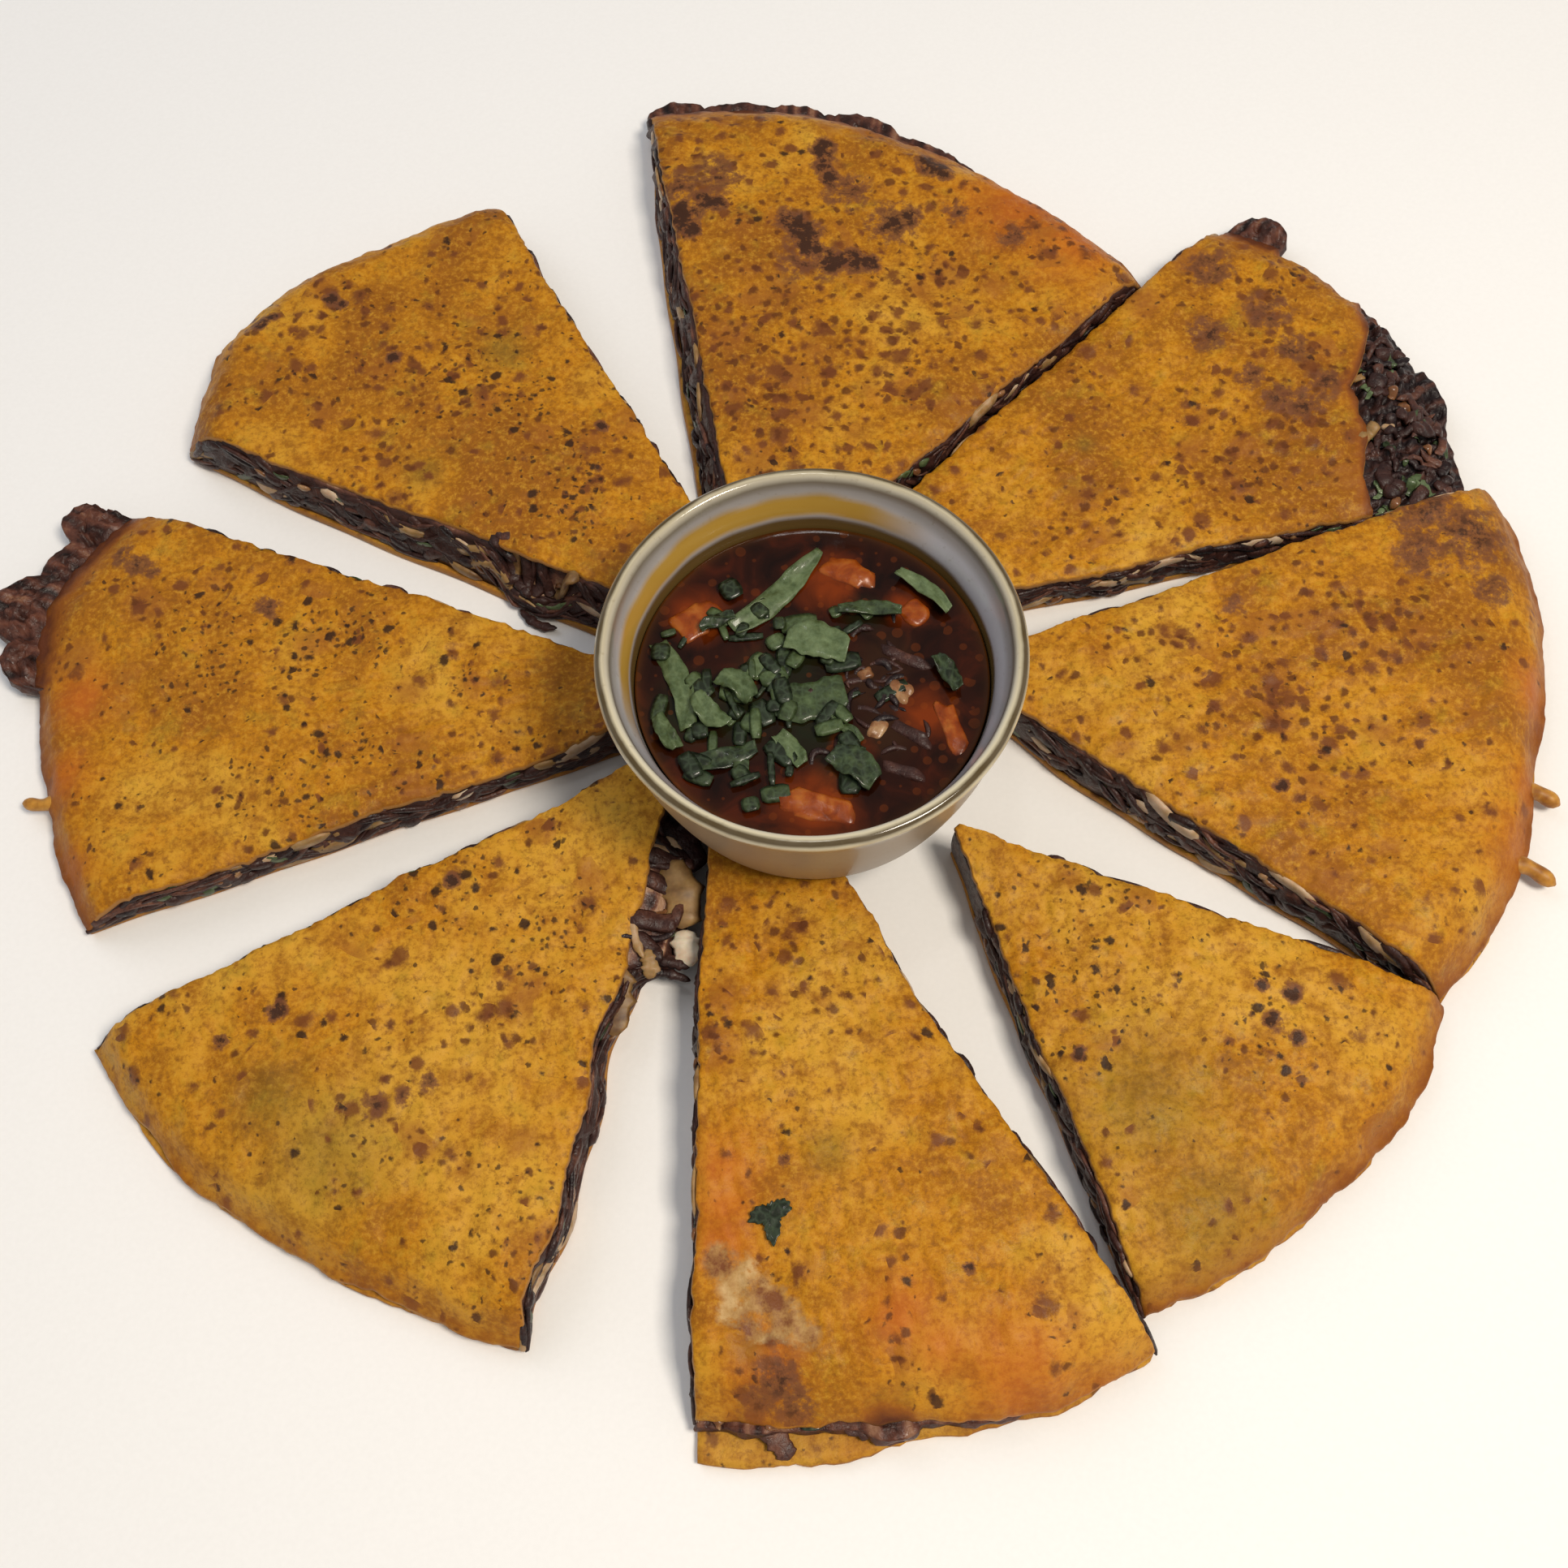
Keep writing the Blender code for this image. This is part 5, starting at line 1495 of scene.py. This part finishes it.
class BIRRIA_OT_broth(Operation):
    """Fills the cup with broth that climbs the wall a little"""

    bl_idname = "birria.broth"
    bl_label = "Broth"

    def execute(self, context):
        settings = context.scene.birria.broth
        wall = BROTH_RADIUS - 0.2 * MM
        floor = CUP_INSIDE + 0.3 * MM
        bottom = [(0.5 * MM, floor), (wall - 9.0 * MM, floor + 0.2 * MM),
                  (wall - 5.4 * MM, floor + 2.9 * MM), (wall - 3.0 * MM, floor + 8.8 * MM)]
        profile = smooth_profile(bottom + [(wall - 0.1 * MM, BROTH_LEVEL)], 3 * MM)
        inner = np.linspace(wall - 0.25 * MM, 0.5 * MM, 60)
        climb = settings.meniscus * np.exp(-(wall - inner) / (1.3 * MM))
        profile = np.concatenate([profile, np.stack([inner, BROTH_LEVEL + climb], axis=-1)])
        points, faces, _ = turned(profile, 140)
        top = np.arange(len(profile)) >= len(profile) - len(inner)
        waves = 0.05 * MM * bumps(points[..., :2], 16 * MM, 3)
        waves = waves + 0.012 * MM * bumps(points[..., :2], 6 * MM, 4)
        points[..., 2] += np.where(top[:, None], waves, 0)
        place = points[..., :2] - CUP_AXIS
        rim = np.where(top[:, None], np.exp(-(wall - off_axis(place)) / (0.8 * MM)), 0) * 0.8
        below = np.stack([patches(place, marks) for marks in BELOW], axis=-1)
        lay_piece("red_broth", points.reshape(-1, 3), faces, consomme(settings),
                  ["broth"], {"rim": rim.ravel(), "below": below.reshape(-1, 3)})
        return {"FINISHED"}


def shreds(count=44, steps=9, sides=6):
    """Thin bent shreds of beef, tangled right of the cup's middle and half sunk."""
    random = np.random.default_rng(12)
    middle = random.normal((11, -5), (6.5, 8.0), (count, 2)) * MM
    t = np.linspace(-1, 1, steps)
    heading = random.uniform(0, 360, count)
    half = random.uniform(1.5, 5, count)[:, None, None] * MM
    bend = random.uniform(-1.1, 1.1, count)[:, None, None] * (1 - t[:, None] ** 2)
    way, left = direction(heading)[:, None], direction(heading + 90)[:, None]
    place = middle[:, None] + half * (t[:, None] * way + bend * left)
    height = BROTH_LEVEL - 0.3 * MM + 0.45 * MM * np.sin(t * 2 + heading[:, None])
    wide = random.uniform(0.4, 1.0, count)[:, None] * MM * np.sqrt(1 - 0.98 * t ** 4)
    tones = np.random.default_rng(13).uniform(-0.2, 0.15, count)
    return ([sweep(raised(place, height), wide, wide * 0.8, UP, sides)],
            np.repeat(tones, steps * sides))


class BIRRIA_OT_morsels(Operation):
    """Floats carrot, onion and beef in the broth"""

    bl_idname = "birria.morsels"
    bl_label = "Carrot, onion and beef"

    def execute(self, context):
        finishes = {"carrot": cooked_vegetable("cooked_carrot", "#6A2806", "#8C400E", "#A86224",
                                               BROTH_LEVEL),
                    "onion": bpy.data.materials["cooked_onion"],
                    "beef": bpy.data.materials["braised_shredded_beef"]}
        for kind, finish in finishes.items():
            some = [m for m in MORSELS if m.name.startswith(kind)]
            centre = np.array([[*m.place, 0] for m in some]) * MM
            centre[:, :2] += CUP_AXIS
            centre[:, 2] = BROTH_LEVEL - 1.3 * MM
            halves = np.array([[0.6 * m.size[0], 0.62 * m.size[1], 2.0] for m in some]) * MM
            turns = np.array([m.turn for m in some])
            points, faces = lumps(centre, halves, turns, len(kind))
            shade = np.full(len(points), 0.1)
            if kind == "beef":
                loose, tones = shreds()
                points, faces = joined([(points, faces)] + loose)
                shade = np.concatenate([shade, tones])
            lay_piece(f"{kind}_morsels", points, faces, finish, [m.name for m in some],
                      {"shade": shade})
        return {"FINISHED"}


def leaf_strip(strip, number, base):
    """A thin strip of leaf: a grid along a bent line, with toothed edges, a fold along its
    middle and slow waves. Returns its lower and upper grid and how near the vein they are."""
    start, end = np.array(strip.start) * MM, np.array(strip.end) * MM
    along, across = np.linspace(0, 1, 30)[:, None], np.linspace(-0.5, 0.5, 9)[None, :]
    way = end - start
    left = np.array([-way[1], way[0]]) / np.linalg.norm(way)
    middle = start + along[..., None] * way
    middle = middle + (4 * along * (1 - along) * strip.bend * MM)[..., None] * left
    breadth = strip.width * MM * np.minimum(1, strip.taper + (1 - strip.taper) * 3 * along)
    breadth = breadth * (1 - 0.35 * along ** 6)
    teeth = 1.05 + 0.06 * np.sin(along * 9 + number * 1.7) + 0.03 * np.sin(along * 31 + number * 5)
    teeth = teeth + 0.03 * np.sign(across) * np.sin(along * 17 + number)
    place = middle + (across * breadth * teeth)[..., None] * left
    wave = 0.35 * MM * np.sin(along * 9 + across * 5 + number * 1.7)
    fold = 0.5 * MM * (np.abs(across) * 2) ** 1.5 * np.sin(along * 7 + number)
    height = base + 0.5 * MM + wave + fold + 0.1 * MM * np.sin(across * 20 + along * 30)
    vein = np.exp(-(across / 0.06) ** 2) * np.ones_like(along)
    return raised(place, height), raised(place, height + 0.35 * MM), vein


def leaf_snips(count=74, steps=6, sides=6):
    """Small cuts of leaf and stem between the strips, thickest to the left of the middle."""
    random = np.random.default_rng(41)
    middle = random.normal((-9, -2), (13, 13), (count, 2))
    far = np.hypot(*middle.T)
    middle = middle * np.minimum(1, 33 / far)[:, None] * MM
    t = np.linspace(-1, 1, steps)
    way = direction(random.uniform(0, 360, count)) * random.uniform(1.0, 4.0, count)[:, None] * MM
    place = middle[:, None] + t[:, None] * way[:, None]
    height = BROTH_LEVEL + 0.25 * MM + random.uniform(0, 1.3, count)[:, None] * MM + 0 * t
    wide = random.uniform(0.5, 2.4, count)[:, None] * MM * (1 - 0.3 * t ** 4)
    parts = [sweep(raised(place, height), wide, np.full_like(wide, 0.22 * MM), UP, sides)]
    return parts, np.repeat(random.uniform(-0.2, 0.25, count), steps * sides)


class BIRRIA_OT_cilantro(Operation):
    """Lays the cut cilantro on the broth and a leaf on the fifth slice"""

    bl_idname = "birria.cilantro"
    bl_label = "Cilantro"

    def execute(self, context):
        finish = bpy.data.materials["cut_cilantro"]
        parts, shades = [], []
        for number, strip in enumerate(CILANTRO, 1):
            base = BROTH_LEVEL + strip.layer * 1.6 * MM
            lower, upper, vein = leaf_strip(strip, number, base)
            rings = np.zeros((0, len(border(*upper.shape[:2])), 3))
            parts.append(shell(lower, upper, rings))
            shade = 0.16 + 0.05 * vein.ravel() + 0.16 * math.sin(number * 2.3)
            shades.append(np.tile(shade, 2))
        snips, shade = leaf_snips()
        parts += snips
        shades.append(shade)
        points, faces = joined(parts)
        lay_piece("cilantro_strips", points, faces, finish,
                  [f"cilantro_{n}" for n in range(1, len(CILANTRO) + 1)],
                  {"shade": np.concatenate(shades)})
        self.leaf(finish)
        return {"FINISHED"}

    def leaf(self, finish):
        """One leaf with three toothed lobes, bent to the tortilla below it."""
        piece = SLICES[4]
        side = direction(50.0)
        u, v = np.meshgrid(np.linspace(-1, 1, 31), np.linspace(-1, 1, 31), indexing="ij")
        angle = np.arctan2(v, u)
        lobes = 0.72 + 0.24 * np.cos(3 * angle + 0.6) + 0.05 * np.cos(19 * angle)
        x, y = u * lobes * 4.6 * MM, v * lobes * 3.9 * MM
        place = np.stack([x * side[0] - y * side[1], x * side[1] + y * side[0]], axis=-1)
        place = place + np.array((-16.2, -107.3)) * MM
        rel = place - np.array(piece.point) * MM
        across = (np.degrees(np.arctan2(rel[..., 1], rel[..., 0])) - piece.first) / piece.opening
        height = upper_height(piece, np.hypot(rel[..., 0], rel[..., 1]), across, place)
        height = height + 0.4 * MM + 0.25 * MM * (1 + np.sin(u * 4 + v * 2))
        upper = raised(place, height + 0.35 * MM)
        lower = raised(place, height)
        rings = np.zeros((0, len(border(31, 31)), 3))
        points, faces = shell(lower, upper, rings)
        veins = np.exp(-(np.sin(1.5 * angle + 0.3) / 0.12) ** 2)
        shade = np.tile((0.12 * veins - 0.14).ravel(), 2)
        lay_piece("cilantro_leaf_top", points, faces, finish, ["cilantro_leaf"],
                  {"shade": shade})


FLOOR_HALF = 3.0
FLOOR_DROP = 0.3 * MM  # how far it lies below the slices
SENSOR = 36.0  # millimetres


class BIRRIA_OT_stage(Operation):
    """Sets the pale floor, the soft studio light and the camera"""

    bl_idname = "birria.stage"
    bl_label = "Stage"

    def execute(self, context):
        settings = context.scene.birria.stage
        scene = context.scene
        scene.view_settings.view_transform = "Standard"
        mesh = bpy.data.meshes.new("studio_floor")
        corners = [(x * FLOOR_HALF, y * FLOOR_HALF, -FLOOR_DROP)
                   for x, y in ((-1, -1), (1, -1), (1, 1), (-1, 1))]
        mesh.from_pydata(corners, [], [(0, 1, 2, 3)])
        mesh.materials.append(studio_paper(settings))
        floor = bpy.data.objects.new("studio_floor", mesh)
        scene.collection.objects.link(floor)
        world = bpy.data.worlds.new("studio")
        world.use_nodes = True
        background = world.node_tree.nodes["Background"]
        background.inputs["Color"].default_value = linear("#FFFFFF")
        background.inputs["Strength"].default_value = settings.sky
        scene.world = world
        # The key light stands high to the right, where the cup's shadow says it is
        self.light("key_light", (0.40, -0.30, 0.95), 0.28, settings.key, "#FFF4E4")
        self.light("fill_light", (-0.7, 0.7, 0.9), 0.9, settings.key * 0.45, "#EEF3FF")
        self.light("back_light", (0.0, 0.12, 0.95), 0.07, settings.key * 0.03, "#FFFFFF")
        camera = bpy.data.cameras.new("camera")
        camera.lens, camera.sensor_width = settings.lens, SENSOR
        camera.clip_start = 0.01
        holder = bpy.data.objects.new("camera", camera)
        eye = np.array(settings.eye)
        eye[:2] += CUP_AXIS
        tilt = math.pi / 2 - settings.pitch
        across, up = np.array((1, 0, 0)), np.array((0, math.cos(tilt), math.sin(tilt)))
        cos, sin = math.cos(settings.roll), math.sin(settings.roll)
        self.stand(holder, cos * across + sin * up, cos * up - sin * across,
                   np.cross(across, up), eye)
        scene.collection.objects.link(holder)
        scene.camera = holder
        return {"FINISHED"}

    def stand(self, holder, *columns):
        """Places an object by its three axes and its origin."""
        holder.matrix_world = Matrix([*np.stack(columns, axis=-1).tolist(), (0, 0, 0, 1)])

    def light(self, name, place, size, power, code):
        """A square soft light that faces the middle of the cup."""
        lamp = bpy.data.lights.new(name, "AREA")
        lamp.size, lamp.energy, lamp.color = size, power, linear(code)[:3]
        holder = bpy.data.objects.new(name, lamp)
        z = np.array(place) / np.linalg.norm(place)
        x = np.cross((0, 1, 0), z)
        x /= np.linalg.norm(x)
        y = np.cross(z, x)
        centre = np.array([*CUP_AXIS, 0.02])
        self.stand(holder, x, y, z, place + centre)
        # The wide fill would mirror in the broth as a white sheet
        holder.visible_glossy = size < 0.5
        bpy.context.scene.collection.objects.link(holder)


OPERATORS = (BIRRIA_OT_upper_tortillas, BIRRIA_OT_lower_tortillas, BIRRIA_OT_filling,
             BIRRIA_OT_beef, BIRRIA_OT_cheese, BIRRIA_OT_cup, BIRRIA_OT_broth,
             BIRRIA_OT_morsels, BIRRIA_OT_cilantro, BIRRIA_OT_stage)


class BIRRIA_PT_panel(bpy.types.Panel):
    """Lists the pieces in the order in which they are built"""

    bl_idname = "BIRRIA_PT_panel"
    bl_label = "Birria pizza"
    bl_space_type = "VIEW_3D"
    bl_region_type = "UI"
    bl_category = "Birria"

    def draw(self, context):
        for operator in OPERATORS:
            self.layout.operator(operator.bl_idname)


GROUPS = (BIRRIA_PG_tortilla, BIRRIA_PG_filling, BIRRIA_PG_cup, BIRRIA_PG_broth,
          BIRRIA_PG_stage, BIRRIA_PG_all)


def register():
    for kind in (*GROUPS, *OPERATORS, BIRRIA_PT_panel):
        bpy.utils.register_class(kind)
    bpy.types.Scene.birria = bpy.props.PointerProperty(type=BIRRIA_PG_all)


def unregister():
    del bpy.types.Scene.birria
    for kind in reversed((*GROUPS, *OPERATORS, BIRRIA_PT_panel)):
        bpy.utils.unregister_class(kind)


def main():
    register()
    for operator in OPERATORS:
        group, call = operator.bl_idname.split(".")
        getattr(getattr(bpy.ops, group), call)()


if __name__ == "__main__":
    main()
